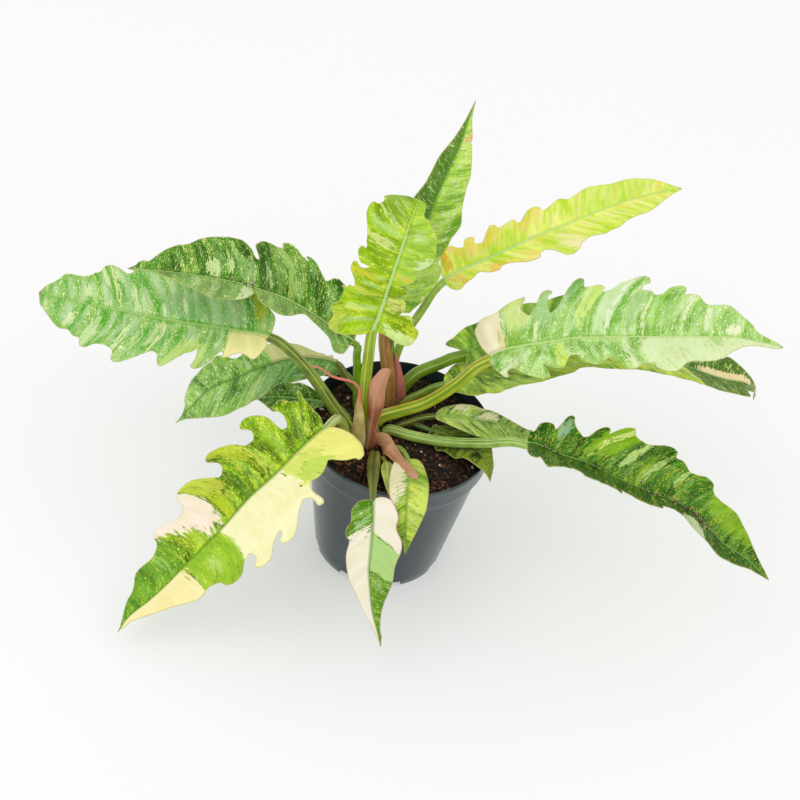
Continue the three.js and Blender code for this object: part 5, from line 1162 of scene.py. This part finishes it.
def makeSoil():
    turn = aroundTurn(soil["sides"])
    points = []
    for i in range(soil["rings"] + 1):
        r = soil["radius"] * max(i / soil["rings"], 0.002)
        points.append(circle(turn, r, soilTop(r * np.cos(turn), r * np.sin(turn))))
    points += [circle(turn, r, z) for r, z in soil["below"]]
    faces = ringFaces(len(points), len(turn), rising=False)
    meshPiece("potting_mix", np.vstack(points), faces, {}, soilPaint(), "soil", 60)


def chipPaint(name):
    p = Paint(name)
    grain = p.noise(p.place(), (0.0015, 0.0015, 0.0008), 3, 0.6)
    stops = [(place, tint(code)) for place, code in chips["colours"]]
    ramp = p.node("ShaderNodeValToRGB", {"stops": stops}, {0: p.field("tone")})
    colour = p.blend(grain.ramp(0.3, 0.7) * 0.4, ramp, tint(chips["grain"]))
    return p.finish(colour, 0.9, (grain, 0.7, 0.0008))


def makeChips():  # bark chips, fibres and a few white grains
    rng = random.Random(chips["seed"])
    points, tones = [], []
    count = chips["chips"] + chips["fibres"]
    for k in range(count):
        fibre = k >= chips["chips"]
        r = (soil["radius"] - 3) * math.sqrt(rng.random())
        angle = rng.uniform(0, 2 * math.pi)
        x, y = r * math.cos(angle), r * math.sin(angle)
        z = float(soilTop(np.array([x]), np.array([y]))[0])
        size = rng.choice(chips["sizes"])
        if fibre:
            dims = (rng.uniform(2, 6.5), 0.17, 0.17)
        else:
            dims = (size * rng.uniform(0.9, 1.8), size * rng.uniform(0.5, 1), size * rng.uniform(0.3, 0.8))
        spin, tip = rng.uniform(0, 2 * math.pi), rng.uniform(-0.35, 0.35)
        turnBy = Matrix.Rotation(spin, 3, "Z") @ Matrix.Rotation(tip, 3, "Y")
        for cx, cy, cz in boxCorners:
            jitter = rng.uniform(0.65, 1.1)
            bow = -0.12 * dims[0] * cx * cx if fibre else 0
            spot = turnBy @ Vector((cx * dims[0] * jitter, cy * dims[1] * jitter, cz * dims[2] + bow))
            points.append((x + spot.x, y + spot.y, z + 0.15 + spot.z))
        white = rng.random() < chips["white"]
        tones += [rng.uniform(0.62, 0.93) if fibre else 1.0 if white else rng.choice(chips["tones"])] * 8
    meshPiece("bark_chips", points, boxCells(count), {"tone": tones}, chipPaint("bark_chips"),
              "soil", 40)


# crumbs of the mix on two leaves: from and to along the leaf, how far across, how wide, how many
crumbs = {"leaf_right_low": (10, 150, 1.6, 2.4, 190), "leaf_left_arching": (84, 100, 1.5, 2.0, 26)}
crumbMake = {"knots": 9, "spread": 6, "size": (0.25, 0.75), "tones": (0.5, 0.75, 0.88, 0.95, 0.98)}


def makeCrumbs(name, spread, paint):
    leaf = Leaf(leaves[name])
    rng = np.random.default_rng(leaf.spec["seed"])
    start, end, middle, reach, count = spread
    points, tones = [], []
    knots = rng.uniform(start, end, crumbMake["knots"])
    for k in range(count):
        a = float(np.clip(knots[k % len(knots)] + rng.normal(0, crumbMake["spread"]), start, end))
        w = float(rng.normal(middle, reach))
        centre = leaf.point(np.array([a]), np.array([w]), 0.7, 0)[0]
        size = rng.uniform(*crumbMake["size"])
        shape = unit(rng.normal(0, 1, (8, 3))) * size * rng.uniform(0.7, 1.3, (8, 1))
        points.append(centre + np.array(boxCorners) * size * 0.6 + shape * 0.35)
        tones += [rng.choice(crumbMake["tones"])] * 8
    meshPiece(name.replace("leaf_", "crumbs_"), np.vstack(points), boxCells(count), {"tone": tones}, paint,
              name, 30)


makeSoil()
makeChips()
crumbFinish = chipPaint("leaf_crumbs")
for name, spread in crumbs.items():
    makeCrumbs(name, spread, crumbFinish)
print("potting mix made")


# Floor, light and camera. A lamp has its place and size in metres and its power in watts.
stage = {"floor": "c8c8c8", "speck": "c0c0c0", "glow": 0.4, "size": 14, "world": 0.86,
         "lamps": {"key": ((-0.9, -0.7, 1.7), 1.2, 5.5), "fill": ((1.2, -0.2, 1.5), 1.5, 3)}, "lampAim": 0.15}
# focal length and sensor in mm, distance and height of the aim in metres, angles in degrees
camera = {"focal": 81, "sensor": 36, "distance": 1.37265, "aim": 0.060, "elevation": 46.416,
          "yaw": -0.149, "pitch": 2.771, "roll": 11.070}


def setUp(name, data, right, up, back, spot):  # a lamp or camera with its axes and its spot
    holder = bpy.data.objects.new(name, data)
    bpy.context.scene.collection.objects.link(holder)
    rows = np.vstack([np.column_stack([right, up, back, spot]), [0, 0, 0, 1]])
    holder.matrix_world = Matrix(rows.tolist())
    return holder


def makeStage():
    p = Paint("floor")
    speck = p.noise(p.place(), 0.2, 2, 0.5)
    colour = p.blend(speck * 0.1, tint(stage["floor"]), tint(stage["speck"]))
    paint = p.finish(colour, 0.8, None, {"Specular IOR Level": 0.2, "Emission Color": tint("ffffff"),
                                         "Emission Strength": stage["glow"]})
    bpy.ops.mesh.primitive_plane_add(size=stage["size"])
    floor = bpy.context.object
    floor.name = "floor"
    floor.data.materials.append(paint)
    world = bpy.data.worlds.new("studio")
    bpy.context.scene.world = world
    world.use_nodes = True
    sky = world.node_tree.nodes["Background"].inputs
    sky["Color"].default_value = (1, 1, 1, 1)
    sky["Strength"].default_value = stage["world"]
    for name, (spot, size, power) in stage["lamps"].items():
        light = bpy.data.lights.new(name, "AREA")
        light.size = size
        light.energy = power
        aim = unit(np.array([0, 0, stage["lampAim"]]) - spot)
        right = unit(np.cross(aim, [0, 0, 1]))
        setUp(name, light, right, np.cross(right, aim), -aim, spot)


def makeCamera():
    lens = bpy.data.cameras.new("camera")
    lens.lens = camera["focal"]
    lens.sensor_width = camera["sensor"]
    lens.clip_end = 50
    lift = math.radians(camera["elevation"])
    back = np.array([0, -math.cos(lift), math.sin(lift)])
    spot = back * camera["distance"] + np.array([0, 0, camera["aim"]])
    ahead, right = -back, np.array([1.0, 0, 0])
    up = np.cross(right, ahead)

    def swing(first, second, degrees):
        c, s = math.cos(math.radians(degrees)), math.sin(math.radians(degrees))
        return c * first + s * second, -s * first + c * second

    ahead, right = swing(ahead, right, camera["yaw"])
    ahead, up = swing(ahead, up, camera["pitch"])
    right, up = swing(right, up, camera["roll"])
    bpy.context.scene.camera = setUp("camera", lens, right, up, -ahead, spot)


makeStage()
makeCamera()
bpy.context.scene.view_settings.view_transform = "Standard"
print("stage, light and camera set")
